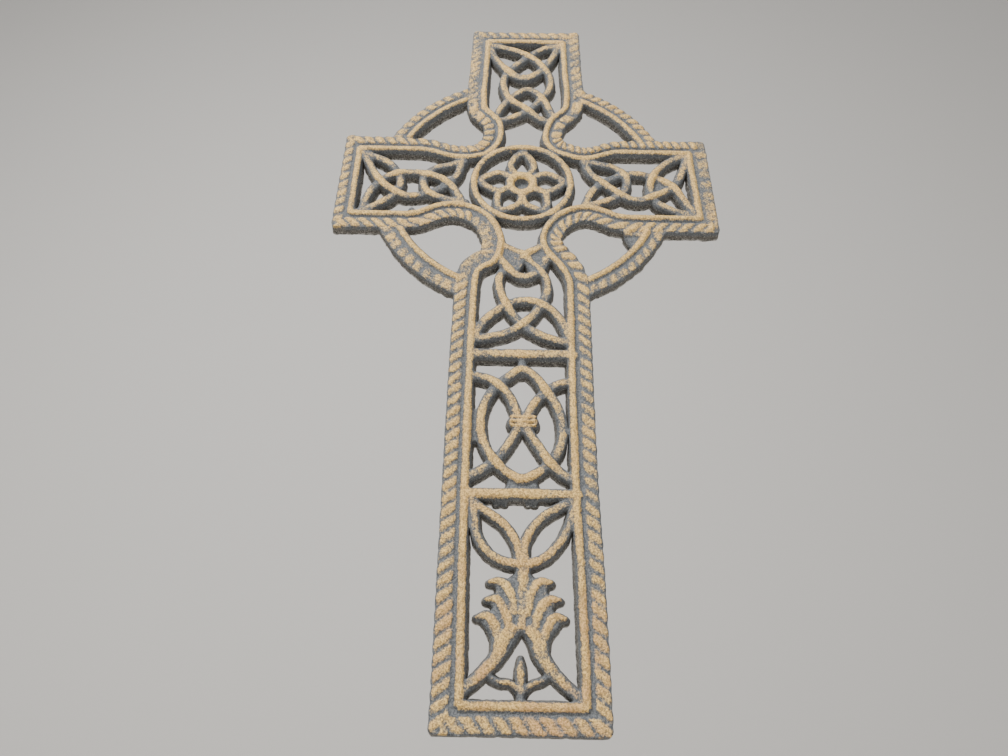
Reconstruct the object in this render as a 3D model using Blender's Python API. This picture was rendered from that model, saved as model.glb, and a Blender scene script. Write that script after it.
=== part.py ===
"""Openwork celtic cross plaque, cast in one piece, hung upright on a wall.

The design is drawn flat, in millimetres from the centre of the ring, with x to the right and y up
the shaft. Each panel is stretched to its named sizes, and the whole is then stood up: the flat back
lies on the plane y = 0, the face looks along -Y, the shaft runs along Z and the origin is on the
back, behind the middle of the top border.
"""

import math

import bmesh
import bpy
import numpy as np
from mathutils import Matrix

# Border, in metres: crest line of the bead, from the centre of the ring
TOP_REACH = 0.1415
FOOT_REACH = 0.3195
LEFT_REACH = 0.1115
RIGHT_REACH = 0.1130
SHAFT_HALF = 0.0290
TOP_HALF = 0.0296
ARM_HALF = 0.0288
BAND = 0.0123

# Heights over the flat back
BEAD_TOP = 0.0085
GROOVE_TOP = 0.0064
ROPE_BASE = 0.0069
ROPE_TOP = 0.0083
STRAND_TOP = 0.0077
WEAVE = 0.0007

# Widths
BEAD_HALF = 0.0028
BEAD_CREST = 0.56
STRAND_HALF = 0.0034
STRAND_CREST = 0.66
ROPE_PITCH = 0.0075
ROPE_SLANT = 0.70

# Ring, centre circle and flower
RING_RADIUS = 0.0882
RING_BITE = 0.0012
CIRCLE_RADIUS = 0.0319
CIRCLE_X = -0.0012
HUB_RADIUS = 0.0082
PETAL_REACH = 0.0268
PETAL_HALF = 0.0078

# Shaft bars and leaves
BAR_ONE = -0.1323
BAR_TWO = -0.2172
BAR_HALF = 0.0034
STEM_HALF = 0.0041
CLASP_HALF = 0.0015
LOOP_WEB_HALF = 0.0024
BUD_HALF = 0.0028
SMALL_HALF = 0.0020

# Tops of the webs between the bars
LOW_WEB_TOP = 0.0052
FIN_TOP = 0.0056
CHEVRON_WEB_TOP = 0.0061
SPRAY_WEB_TOP = 0.0066
LEG_TOP = 0.0073

# How far the shapes run behind the back before it is cut flat, and how far a facet may stray
SINK = 0.0015
STRAY = 0.0005
HANDLE = 0.39

MM = 0.001
HANG_HEIGHT = TOP_REACH + BAND / 2
CORNER = BEAD_HALF + 0.0022

# Drawn half widths and reaches that the points below were laid out on
DRAWN_SHAFT, DRAWN_TOP, DRAWN_ARM = 29.0, 29.6, 28.8
DRAWN_UP, DRAWN_FOOT, DRAWN_LEFT, DRAWN_RIGHT = 141.5, 319.5, 111.5, 113.0
DRAWN_CIRCLE = 31.9

# Drawn distances from the centre inside which an armpit follows the circle, and past which the arms
ARMPIT_TIED, ARMPIT_FREE = 44, 72

# Each armpit's bead line, by side and level: the part that follows the upright, then the side arm
ARMPITS = {
    (-1, 1): (((29.3, 75), (28, 70), (22.5, 63.5), (18, 57), (16.3, 50), (16.3, 43), (18, 35.5)),
              ((21.5, 30), (26, 25.5), (33, 23), (40, 22), (47, 22.5), (54, 24.2), (61, 26.8), (68, 28.6),
               (75, 28.8))),
    (1, 1): (((29.6, 75), (28.5, 70.5), (24, 65), (19.5, 60), (17, 54), (15, 47), (14.5, 42), (15.5, 36.5)),
             ((18.5, 31.5), (23, 27.8), (28, 25.8), (38, 22.8), (43, 22.8), (50, 24.7), (57, 27.3),
              (63, 28.5), (75, 28.8))),
    (-1, -1): (((29, 84), (28.8, 78), (27.3, 73), (23, 69.3), (19, 66.8), (16, 62), (14.5, 56), (14.2, 49),
                (15.5, 43)),
               ((18, 36.5), (21.5, 31), (26, 26.8), (31, 23.5), (37, 21), (44, 19.8), (51, 20.2),
                (58, 22.4), (64, 25.5),
                (70, 28.2), (76, 28.8))),
    (1, -1): (((28.8, 87), (27.9, 80.6), (26.2, 75), (23.7, 70), (20.5, 65), (17.4, 61.2), (14.3, 56.2),
               (12.5, 50)),
              ((12.8, 43.5), (15, 37.5), (18.5, 32), (23, 27.5), (28, 24), (34, 21.5), (40, 20.7),
               (46, 21.5), (52, 23.8),
               (57, 26.2), (62, 28), (70, 28.8))),
}


def clear_scene():
    """Removes what the startup scene holds."""
    for item in list(bpy.data.objects):
        bpy.data.objects.remove(item, do_unlink=True)
    for mesh in list(bpy.data.meshes):
        bpy.data.meshes.remove(mesh)


def collection(name, hidden=False):
    made = bpy.data.collections.new(name)
    bpy.context.scene.collection.children.link(made)
    made.hide_render = hidden
    return made


def slide(value, drawn_in, real_in, drawn_out, real_out):
    """Distance from the centre: scaled inside the circle, then stretched to the border."""
    size = np.abs(value)
    inner = size * real_in / drawn_in
    share = (size - drawn_in) / (drawn_out - drawn_in)
    outer = real_in + share * (real_out - real_in)
    return np.sign(value) * np.where(size < drawn_in, inner, outer)


def placed(points, panel):
    """Drawn points (x, y and, if given, lift) moved to the real sizes of their panel."""
    p = np.array([tuple(q) + (0.0,) * (3 - len(q)) for q in points], float)
    x, y, lift = p[:, 0], p[:, 1], p[:, 2] * WEAVE
    if panel in ("left", "right"):
        drawn, real = (DRAWN_LEFT, LEFT_REACH) if panel == "left" else (DRAWN_RIGHT, RIGHT_REACH)
        x = slide(x, DRAWN_CIRCLE, CIRCLE_RADIUS, drawn, real)
        y = y * ARM_HALF / DRAWN_ARM
    elif panel == "top":
        x = x * TOP_HALF / DRAWN_TOP
        y = slide(y, DRAWN_CIRCLE, CIRCLE_RADIUS, DRAWN_UP, TOP_REACH)
    elif panel == "shaft":
        x = x * SHAFT_HALF / DRAWN_SHAFT
        y = slide(y, DRAWN_CIRCLE, CIRCLE_RADIUS, DRAWN_FOOT, FOOT_REACH)
    return np.stack([x, y, lift], axis=1)


def armpit(side, level):
    """Bead line from one outer corner round the armpit to the next. Side and level are -1 or 1.

    Near the centre circle the line keeps to the circle's size, and further out to the arms' widths.
    """
    reach = LEFT_REACH if side < 0 else RIGHT_REACH
    half, tall, drawn = (TOP_HALF, TOP_REACH, DRAWN_TOP) if level > 0 else (SHAFT_HALF, FOOT_REACH,
            DRAWN_SHAFT)
    upright, across = ARMPITS[side, level]
    p = np.array(upright + across)
    near = CIRCLE_RADIUS / (DRAWN_CIRCLE * MM)
    far = np.clip((np.hypot(p[:, 0], p[:, 1]) - ARMPIT_TIED) / (ARMPIT_FREE - ARMPIT_TIED), 0, 1)
    far_x = np.where(np.arange(len(p)) < len(upright), half / (drawn * MM), near)
    far_y = np.where(np.arange(len(p)) < len(upright), near, ARM_HALF / (DRAWN_ARM * MM))
    p *= np.stack([near + far * (far_x - near), near + far * (far_y - near)], axis=1) * MM
    start, end = np.array([[half, tall]]), np.array([[reach, ARM_HALF]])
    return np.concatenate([start, p, end]) * (side, level)


def cubic(points, closed=False):
    """Cubic pieces through the points, with the even handles of an automatic Bezier curve."""
    p = np.asarray(points, float)
    before, after = np.roll(p, 1, axis=0), np.roll(p, -1, axis=0)
    if not closed:
        before[0], after[-1] = 2 * p[0] - p[1], 2 * p[-1] - p[-2]
    back, ahead = p - before, after - p
    short, long = np.linalg.norm(back, axis=1)[:, None], np.linalg.norm(ahead, axis=1)[:, None]
    lean = back / short + ahead / long
    lean *= HANDLE / np.linalg.norm(lean, axis=1)[:, None]
    left, right = p - lean * short, p + lean * long
    ends = np.roll(p, -1, axis=0), np.roll(left, -1, axis=0)
    stop = len(p) if closed else len(p) - 1
    return [(p[i], right[i], ends[1][i], ends[0][i]) for i in range(stop)]


def smooth(points, closed=False, stray=STRAY):
    """Points along the curve through the given ones, no more than the facets need."""
    t = np.linspace(0, 1, 13)[:-1, None]
    line = [a * (1 - t) ** 3 + 3 * b * t * (1 - t) ** 2 + 3 * c * t * t * (1 - t) + d * t**3
            for a, b, c, d in cubic(points, closed)]
    line = np.concatenate(line + [np.asarray(points, float)[:1] if closed else np.asarray(points,
            float)[-1:]])
    if not closed:
        return thinned(line, stray)
    half = len(line) // 2
    return np.concatenate([thinned(line[: half + 1], stray)[:-1], thinned(line[half:], stray)[:-1]])


def thinned(line, stray=STRAY):
    """The fewest points, ends kept, whose straight runs stay within the given distance of the line."""
    if len(line) < 3:
        return line
    run = line[-1] - line[0]
    length = np.linalg.norm(run)
    if length == 0:
        away = np.linalg.norm(line - line[0], axis=1)
    else:
        along = np.clip((line - line[0]) @ run / length, 0, length)
        away = np.linalg.norm(line - line[0] - along[:, None] * run / length, axis=1)
    far = int(away.argmax())
    if away[far] <= stray:
        return line[[0, -1]]
    return np.concatenate([thinned(line[: far + 1], stray)[:-1], thinned(line[far:], stray)])


def offset(line, distance):
    """The line moved sideways, to its left for a positive distance, with mitred corners."""
    step = np.diff(line[:, :2], axis=0)
    step /= np.linalg.norm(step, axis=1)[:, None]
    left = np.stack([-step[:, 1], step[:, 0]], axis=1)
    before, after = np.vstack([left[:1], left]), np.vstack([left, left[-1:]])
    mitre = (before + after) / (1 + (before * after).sum(axis=1))[:, None]
    return line[:, :2] + distance * mitre


def profile(name, points):
    """A closed section: x to the right of the way that the curve runs, y up from the back."""
    curve = bpy.data.curves.new(name, "CURVE")
    curve.dimensions = "2D"
    curve.fill_mode = "NONE"
    spline = curve.splines.new("POLY")
    spline.points.add(len(points) - 1)
    for slot, (x, y) in zip(spline.points, points):
        slot.co = (x, y, 0, 1)
    spline.use_cyclic_u = True
    made = bpy.data.objects.new(name, curve)
    helpers.objects.link(made)
    return made


def as_mesh(curve_object, group, ring=False):
    """The curve's evaluated shape as a closed mesh object of the same name."""
    bpy.context.view_layer.update()
    graph = bpy.context.evaluated_depsgraph_get()
    mesh = bpy.data.meshes.new_from_object(curve_object.evaluated_get(graph))
    name, world = curve_object.name, curve_object.matrix_world.copy()
    bpy.data.objects.remove(curve_object, do_unlink=True)
    made = bpy.data.objects.new(name, mesh)
    made.matrix_world = world
    group.objects.link(made)
    return cleaned(made, ring)


def cleaned(made, ring=False):
    """The object with its points merged and everything behind the back cut away, flat and closed."""
    shape = bmesh.new()
    shape.from_mesh(made.data)
    bmesh.ops.remove_doubles(shape, verts=shape.verts, dist=1e-6)
    shape.transform(made.matrix_world)
    made.matrix_world = Matrix.Identity(4)
    cut = bmesh.ops.bisect_plane(shape, geom=shape.verts[:] + shape.edges[:] + shape.faces[:], dist=1e-7,
                                 plane_co=(0, 0, 0), plane_no=(0, 0, 1), clear_inner=True)
    rim = [e for e in cut["geom_cut"] if isinstance(e, bmesh.types.BMEdge) and e.is_boundary]
    if ring:
        bmesh.ops.bridge_loops(shape, edges=rim)
    else:
        bmesh.ops.contextual_create(shape, geom=rim)
    for v in shape.verts:
        if abs(v.co.z) < 1e-6:
            v.co.z = 0
    bmesh.ops.recalc_face_normals(shape, faces=shape.faces)
    shape.to_mesh(made.data)
    shape.free()
    made.display_type = "WIRE"
    return made


def sweep(name, line, section, closed=False, widths=None):
    """A section drawn along a line whose third number is its lift over the section's height."""
    curve = bpy.data.curves.new(name, "CURVE")
    curve.dimensions = "3D"
    curve.twist_mode = "Z_UP"
    curve.bevel_mode = "OBJECT"
    curve.bevel_object = section
    curve.use_fill_caps = True
    spline = curve.splines.new("POLY")
    spline.points.add(len(line) - 1)
    lifts = line[:, 2] if line.shape[1] > 2 else np.zeros(len(line))
    widths = np.ones(len(line)) if widths is None else widths
    for slot, (x, y), lift, width in zip(spline.points, line[:, :2], lifts, widths):
        slot.co = (x, y, lift, 1)
        slot.radius = width
    spline.use_cyclic_u = closed
    made = bpy.data.objects.new(name, curve)
    unions.objects.link(made)
    return as_mesh(made, unions, closed)


def plate(name, outline, top, bottom=-SINK):
    """A flat piece of the given outline, between two heights."""
    curve = bpy.data.curves.new(name, "CURVE")
    curve.dimensions = "2D"
    curve.fill_mode = "BOTH"
    curve.extrude = (top - bottom) / 2
    spline = curve.splines.new("POLY")
    spline.points.add(len(outline) - 1)
    for slot, (x, y) in zip(spline.points, outline):
        slot.co = (x, y, 0, 1)
    spline.use_cyclic_u = True
    made = bpy.data.objects.new(name, curve)
    made.location.z = (top + bottom) / 2
    unions.objects.link(made)
    return as_mesh(made, unions)


def round_bar(half, top, crest=STRAND_CREST):
    """Section of a bead or strand: drafted sides and a flat crest, run on behind the back."""
    low = -SINK - WEAVE
    return [(-half, low), (-half * crest, top), (half * crest, top), (half, low)]


def groove(out):
    """Section of the groove floor, from inside the bead to inside the rope, on the side given by out."""
    near, far = BEAD_HALF * 0.5, BAND - 0.003
    return [(out * x, y) for x, y in ((near, -SINK), (near, GROOVE_TOP), (far, GROOVE_TOP), (far, -SINK))]


def border_run(name, line, out, band_ends=(0.0, 0.0), bead_ends=(0.0, 0.0), rope_ends=(0.0, 0.0), slant=1):
    """A length of border along its bead line: bead, groove floor and rope.

    out is 1 where the rope lies to the right of the way the line runs. The three pairs say how far
    the groove, the bead and the rope run on past the ends of the line.
    """
    few = thinned(line)
    sweep(name + "_bead", lengthened(few, *bead_ends), sections["bead"])
    sweep(name + "_groove", lengthened(few, *band_ends),
          sections["groove_right" if out > 0 else "groove_left"])
    rope(name + "_rope", lengthened(line, *rope_ends), out, slant)


def lengthened(line, before, after):
    """The line with its ends run on by the two lengths."""
    line = line.copy()
    first, last = line[0, :2] - line[1, :2], line[-1, :2] - line[-2, :2]
    line[0, :2] += before * first / np.linalg.norm(first)
    line[-1, :2] += after * last / np.linalg.norm(last)
    return line


def rope(name, line, out, slant):
    """The roped edge: a band whose top rises and falls in lobes that slant across it.

    Each lobe has a valley and a ridge line, from the groove to the outer wall.
    """
    near, far = BEAD_HALF + 0.0012, BAND
    inside, outside = offset(line, -out * near), offset(line, -out * far)
    middle = (inside + outside) / 2
    reached = np.concatenate([[0], np.cumsum(np.linalg.norm(np.diff(middle, axis=0), axis=1))])
    lean = slant * ROPE_SLANT * (far - near) / 2
    count = 2 * max(1, round((reached[-1] - 2 * abs(lean)) / ROPE_PITCH))
    at = np.linspace(abs(lean), reached[-1] - abs(lean), count + 1)
    top = np.where(np.arange(count + 1) % 2, ROPE_TOP, ROPE_BASE)
    at = np.concatenate([[0], at, [reached[-1]]])
    top = np.concatenate([[ROPE_BASE], top, [ROPE_BASE]])
    shift = np.concatenate([[0], np.full(count + 1, lean), [0]])

    def along(path, where):
        return np.stack([np.interp(where, reached, path[:, 0]),
                         np.interp(where, reached, path[:, 1])], axis=1)

    low = np.full((len(at), 1), -SINK)
    inner, outer = along(inside, at - shift), along(outside, at + shift)
    rows = np.stack([np.hstack([inner, low]), np.hstack([inner, top[:, None]]),
                     np.hstack([outer, top[:, None]]), np.hstack([outer, low])], axis=1)
    made = bpy.data.objects.new(name, strip(name, rows))
    unions.objects.link(made)
    return cleaned(made)


def strip(name, rows):
    """A closed mesh through rows of points, each row a section, with a face at either end."""
    stations, sides = rows.shape[:2]
    here = np.arange(sides)
    after = (here + 1) % sides
    start = np.arange(stations - 1)[:, None] * sides
    quads = np.stack([start + here, start + after, start + sides + after, start + sides + here], axis=-1)
    faces = quads.reshape(-1, 4).tolist() + [here[::-1].tolist(), (here + (stations - 1) * sides).tolist()]
    mesh = bpy.data.meshes.new(name)
    mesh.from_pydata(rows.reshape(-1, 3).tolist(), [], faces)
    return mesh


def strand(name, points, panel, closed=False, rise=0.0, widths=None, half=None):
    """An interlaced strand through drawn points. Their lift is 1 over and -1 under another."""
    line = smooth(placed(points, panel), closed)
    line[:, 2] += rise
    if widths is not None:
        widths = np.interp(np.linspace(0, 1, len(line)), np.linspace(0, 1, len(widths)), widths)
    section = sections["strand"] if half is None else profile(name + "_section", round_bar(half,
            STRAND_TOP))
    return sweep(name, line, section, closed, widths)


def circle(name, x, y, radius, half, top, sides=20, crest=STRAND_CREST):
    turn = np.arange(sides) * 2 * math.pi / sides
    line = np.stack([x + radius * np.cos(turn), y + radius * np.sin(turn), 0 * turn], axis=1)
    sweep(name, line, profile(name + "_section", round_bar(half, top, crest)), closed=True)


def build_borders():
    """The roped border of the four arms, each armpit in one run from corner to corner."""
    for side, level, name in ((-1, 1, "upper_left"), (1, 1, "upper_right"), (-1, -1, "lower_left"),
                              (1, -1, "lower_right")):
        line = armpit(side, level)
        line = np.concatenate([line[:1], smooth(line[1:-1], stray=STRAY / 4), line[-1:]])
        out = -side * level
        slant = 1 if (side, level) == (-1, 1) else -1
        border_run(name, line, out, (CORNER, CORNER), (0.0010, 0.0010), (BAND, CORNER), slant)
    ends = (
        ("top", (-TOP_HALF, TOP_REACH), (TOP_HALF, TOP_REACH), -1, -1),
        ("left", (-LEFT_REACH, -ARM_HALF), (-LEFT_REACH, ARM_HALF), -1, -1),
        ("right", (RIGHT_REACH, ARM_HALF), (RIGHT_REACH, -ARM_HALF), -1, -1),
        ("foot", (SHAFT_HALF, -FOOT_REACH), (-SHAFT_HALF, -FOOT_REACH), -1, -1),
    )
    for name, start, stop, out, slant in ends:
        rope_ends = (CORNER, CORNER) if name in ("top", "foot") else (BAND, BAND)
        border_run(name, np.array([start, stop]), out, (CORNER, CORNER), (0.0013, 0.0013), rope_ends, slant)


def build_ring():
    """Four arcs of the ring, roped outside and beaded inside."""
    for i, name in enumerate(("ring_upper_right", "ring_upper_left", "ring_lower_left",
                              "ring_lower_right")):
        half = TOP_HALF if i < 2 else SHAFT_HALF
        low = math.asin((ARM_HALF + BAND - RING_BITE) / (RING_RADIUS + BAND))
        high = math.acos((half + BAND - RING_BITE) / (RING_RADIUS + BAND))
        quarter = i * math.pi / 2
        low, high = (low, high) if i % 2 == 0 else (math.pi / 2 - high, math.pi / 2 - low)
        turn = np.linspace(low, high, 60) + quarter
        line = RING_RADIUS * np.stack([np.cos(turn), np.sin(turn)], axis=1)
        border_run(name, line, 1, bead_ends=(-0.002, -0.002), slant=(-0.7, 0.7, 0.1, -0.7)[i])


def build_centre():
    """The circle in the crossing, with its five-petalled flower."""
    circle("centre_circle", CIRCLE_X, 0, CIRCLE_RADIUS, BEAD_HALF, BEAD_TOP, crest=BEAD_CREST)
    circle("flower_ring", CIRCLE_X - 0.0003, -0.0003, HUB_RADIUS, BEAD_HALF * 0.95, STRAND_TOP, sides=10)
    turn = np.arange(10) * math.pi / 5
    hub = HUB_RADIUS * np.stack([np.cos(turn), np.sin(turn)], axis=1) + (CIRCLE_X - 0.0003, -0.0003)
    plate("flower_floor", hub, 0.0025)
    for i, degrees in enumerate((90, 3, 176, -57, -122)):
        a = math.radians(degrees)
        out = np.array([math.cos(a), math.sin(a)])
        across = np.array([-out[1], out[0]])
        start, reach = HUB_RADIUS, PETAL_REACH
        loop = [(start, -0.62), (start + 0.35 * (reach - start), -1), (start + 0.72 * (reach - start),
                -0.72),
                (reach, 0), (start + 0.72 * (reach - start), 0.72), (start + 0.35 * (reach - start), 1),
                (start, 0.62)]
        points = [r * out + w * PETAL_HALF * across for r, w in loop]
        line = smooth(np.array([(x + CIRCLE_X, y, 0) for x, y in points]), stray=STRAY)
        line[:, 2] = -0.0004 - 0.00005 * i
        sweep(f"petal_{i + 1}", line, sections["petal"])


def build_knots():
    """The interlaced strands of the top arm, the side arms and the upper shaft."""
    strand("top_bowl", [(-26.5, 142, 0), (-23.6, 129), (-18, 118), (-12, 110, 1), (-5.5, 104.2),
                        (1, 102.8), (7, 106),
                        (14, 114.5, -1), (20, 124.5), (23.5, 133), (26.5, 142)], "top")
    strand("top_over_left", [(-28, 138.5), (-13, 135.2), (2.5, 127, 1), (14, 114, 0.6), (18.9, 101.5),
                             (17.2, 90),
                             (12, 82, -0.6), (2.8, 69.5, -1), (-6, 63.2),
                             (-17.5, 57.8, 0)], "top", rise=-0.0001)
    strand("top_over_right", [(28, 139), (14, 135.5), (3, 127, -1), (-12, 110, -1), (-15.2, 99),
                              (-14.2, 90),
                              (-10.8, 81, 0.6), (2.6, 69, 1), (8.6, 62.8),
                              (18, 57, 0)], "top", rise=-0.0002)
    strand("top_arch", [(-20.5, 60), (-16.4, 71), (-11, 80.4, -0.6), (-3.5, 87.8), (2.2, 90.8), (7.4, 88.2),
                        (12.6, 81.6, 0.6), (17.4, 71), (20.8, 60)], "top", rise=-0.0003)
    strand("left_bowl", [(-109, 25), (-98, 20.6), (-89.4, 15), (-84, 7.4, -1), (-81.5, 0), (-83.4, -9, -1),
                         (-91, -17.4), (-100, -23.8), (-109, -28)], "left")
    strand("left_over_down", [(-109, 26), (-104, 15.8), (-96.6, 2.4, 1), (-84.6, -9.2, 1), (-75.6, -12.4),
                              (-63.6, -9.8, -1),
                              (-51.6, -2.4, -1), (-44.8, 5.4), (-42, 17), (-41, 22)], "left", rise=-0.0001)
    strand("left_over_up", [(-104.5, -26), (-102, -13), (-96.8, -1.6, -1), (-84.4, 6.6, 1), (-74.6, 7.8),
                            (-65.4, 6.6, 1),
                            (-51.8, 0.6, 1), (-43.6, -10), (-39.4, -20)], "left", rise=-0.0002)
    strand("left_arch", [(-40.5, 18.2), (-50, 15.2), (-60.6, 10.8), (-66, 5, -0.6), (-65.8, -4),
                         (-62.2, -10, 0.6),
                         (-52, -14.6), (-38, -17.6)], "left", rise=-0.0003)
    strand("right_bowl", [(109, 27), (98, 21.8), (90.6, 15), (85.4, 6.8, 1), (83, -2), (84.6, -11.6, -1),
                          (91.6, -19), (100, -23.2), (110, -26)], "right")
    strand("right_over_down", [(110.5, 27), (106.2, 14), (98.6, -0.2, -1), (84, -10.4, 1), (73, -13.2),
                               (64.6, -9.6, 0.6),
                               (51.4, 1.6, 1), (43.6, 11), (41, 21)], "right", rise=-0.0001)
    strand("right_over_up", [(110, -24), (104.4, -12.6), (97.4, -0.6, 1), (87, 7, -0.6), (73, 10),
                             (64.8, 8.4, -0.6),
                             (50.8, 0.6, -1), (43.8, -8), (39.4, -19.5)], "right", rise=-0.0002)
    strand("right_arch", [(40, 20), (52, 17.8), (62, 14), (67.6, 7, 0.6), (67.2, -3), (62.8, -9, -0.6),
                          (52.6, -14.8), (40, -19.6)], "right", rise=-0.0003)
    plate("right_web", placed([(85, 6), (98, 0), (85, -10)], "right")[:, :2], LOW_WEB_TOP)


def build_upper_shaft():
    """Knot under the crossing: chevron, small bowl, ovals and the round arch over the first bar."""
    web = [(-13, -54), (0.6, -59), (12, -54), (14, -63), (12, -68), (6, -73), (3.4, -72), (0.4, -65),
           (-3, -73),
           (-6, -74), (-12, -68), (-15, -62)]
    plate("chevron_web", placed(web, "shaft")[:, :2], CHEVRON_WEB_TOP)
    strand("upper_arch", [(-28, -121), (-23.6, -110.6), (-16.2, -102.8, 0), (-9.4, -97.4, -0.7),
                          (1, -94.6), (10.6, -97.2, 0.7),
                          (18, -102.4), (22.8, -109.6), (26.5, -121)], "shaft")
    strand("upper_left_oval", [(11.5, -53), (0.6, -60.6, 1), (-10.4, -70, -0.7), (-14.4, -83.6),
                               (-9.6, -98, 0.7), (-0.8, -111.2, -0.7),
                               (8, -117.8), (17, -121.8), (28, -125)], "shaft", rise=-0.0001)
    strand("upper_right_oval", [(-13, -52.6), (0.4, -60.4, -1), (10.6, -71, 0.7), (15.4, -84),
                                (10.4, -97.8, -0.7), (0, -111.6, 0.7),
                                (-8.4, -117.2), (-18, -120.4), (-29, -123)], "shaft", rise=-0.0002)
    strand("upper_bowl", [(-15.4, -62), (-10.4, -69.6, 0.7), (-5, -75.2), (0.6, -77), (6, -75.4),
                          (10.4, -71, -0.7), (14.2, -63)],
           "shaft", rise=-0.0003)


def build_lower_shaft():
    """The two bars, the tied loop between them, and the leaf on its stem under the second bar."""
    for name, at, half in (("first_bar", BAR_ONE, BAR_HALF * 1.1), ("second_bar", BAR_TWO, BAR_HALF * 0.9)):
        line = np.array([(-SHAFT_HALF, at, 0), (SHAFT_HALF, at, 0)])
        sweep(name, line, profile(name + "_section", round_bar(half, BEAD_TOP - 0.0002)))
    strand("loop", [(-0.4, -142.4), (-7.4, -146.8), (-14.6, -153.2, -1), (-20.6, -162.6), (-23.6, -175),
                    (-21.4, -188),
                    (-14.6, -199, 1), (-7, -206), (0, -208.8), (7, -206), (13.6, -200.6, -1), (19.6, -192),
                    (21.9, -181),
                    (19.4, -167), (12.4, -155.2, 1), (5, -145.2)], "shaft", closed=True)
    strand("tie_left", [(-29, -147), (-21, -148.4), (-14.6, -152, 1), (-7.4, -160), (-2.9, -170.4),
                        (-1, -174.6), (2.2, -180),
                        (8, -189.2), (14, -198.6, 1), (20, -204.8), (28, -210)], "shaft", rise=-0.0001)
    strand("tie_right", [(28, -150.2), (20, -151.8), (12.6, -157, -1), (6.2, -164.6), (2.9, -171.2),
                         (0.6, -175), (-3, -180.8),
                         (-8.4, -190.6), (-15.2, -199, -1), (-21.6, -204),
                         (-29, -208.6)], "shaft", rise=-0.0002)
    for i, y in enumerate((-173.1, -175.5, -177.9)):
        strand(f"clasp_{i + 1}", [(-6.8, y), (0.5, y - 0.2),
                                  (7.6, y)], "shaft", rise=(0.0004, 0.0007, 0.00035)[i],
               half=CLASP_HALF)
    plate("clasp_bed", placed([(-5.6, -172.4), (6.6, -172.5), (6.6, -178.5),
                               (-5.6, -178.5)], "shaft")[:, :2],
          STRAND_TOP - 0.0009)
    strand("loop_top_web", [(-0.4, -136), (-0.4, -144)], "shaft", rise=-0.0009, half=LOOP_WEB_HALF)
    plate("loop_foot_web", placed([(-7, -209), (7.4, -209), (9, -215),
                                   (-9, -215)], "shaft")[:, :2], LOW_WEB_TOP)
    plate("loop_side_web", placed([(-28.4, -167), (-22, -168), (-22.4, -187),
                                   (-28.4, -188)], "shaft")[:, :2], LOW_WEB_TOP)
    leaves = (
        ("left_leaf_outer", [(-26, -222), (-24.4, -229), (-23.6, -237), (-19, -246), (-11, -252),
                             (0, -254.2)]),
        ("left_leaf_inner", [(-26.4, -221.6), (-19, -226.6), (-10, -233), (-4, -241), (-0.4, -252)]),
        ("right_leaf_outer", [(0.6, -254.4), (9, -252), (18, -244.4), (24, -234), (26.4, -226)]),
        ("right_leaf_inner", [(0.8, -252), (2.6, -241), (8.6, -231.6), (16, -226), (26, -220.8)]),
    )
    for i, (name, line) in enumerate(leaves):
        strand(name, line, "shaft", rise=-0.0001 * (i + 1))
    strand("stem", [(0.6, -253), (0.6, -266),
                    (0, -284)], "shaft", rise=-0.0007, half=STEM_HALF, widths=(1, 0.95, 0.8))


def build_spray():
    """The leaf spray under the stem: three curled lobes to a side on a web, and two legs to the corners."""
    lobes = (
        ("left_lobe_1", [(-16.4, -263.4), (-9.4, -262.6), (-5, -268), (-2, -279)]),
        ("left_lobe_2", [(-17.4, -272), (-11, -272), (-7, -278), (-4, -288)]),
        ("left_lobe_3", [(-22.4, -280), (-16.6, -278.8), (-12, -284), (-10, -293)]),
        ("right_lobe_1", [(15, -263), (8, -263), (4.4, -268.6), (2, -279.4)]),
        ("right_lobe_2", [(19.4, -271.4), (12, -271.8), (7.8, -278), (5, -288.4)]),
        ("right_lobe_3", [(21.8, -280.2), (15.4, -279.6), (11.4, -285), (9.6, -293.4)]),
    )
    for i, (name, line) in enumerate(lobes):
        strand(name, line, "shaft", rise=-0.0004 - 0.0001 * i, widths=(0.55, 0.95, 1, 1))
    legs = (
        ("left_leg", [(-3.6, -284), (-8.6, -290), (-11, -297), (-17, -303.8), (-28, -314)]),
        ("right_leg", [(3.6, -284), (7.8, -290), (9.6, -297), (15, -304.4), (27.6, -316)]),
    )
    for i, (name, line) in enumerate(legs):
        strand(name, line, "shaft", rise=-0.0002 - 0.00013 * i)
    fork = [(0, -282), (10.6, -285), (12.2, -292), (13.6, -298), (18, -304), (13, -306), (7.2, -299),
            (0.3, -286),
            (-7.6, -298.6), (-13.6, -304.6), (-19, -303), (-14.4, -297), (-13.2, -292), (-12.4, -285)]
    plate("leg_fork", placed(fork, "shaft")[:, :2], LEG_TOP)
    web = [(0, -258), (6, -263), (8.6, -266), (9, -270), (12.4, -274), (12, -279), (14, -284), (12, -292),
           (7, -297), (0.3, -286),
           (-6.6, -297), (-12.6, -292), (-14.6, -284), (-12, -279), (-12, -274), (-9, -270), (-9, -266),
           (-6, -262)]
    plate("spray_web", placed(web, "shaft")[:, :2], SPRAY_WEB_TOP)


def build_fin():
    """The thin web left in the corner of the lower right window, between ring and arm."""
    outline = [(62, -36), (72, -36), (79, -42), (70, -53), (67.2, -50), (64.6, -45)]
    plate("window_fin", placed(outline, "right")[:, :2], FIN_TOP)


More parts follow.
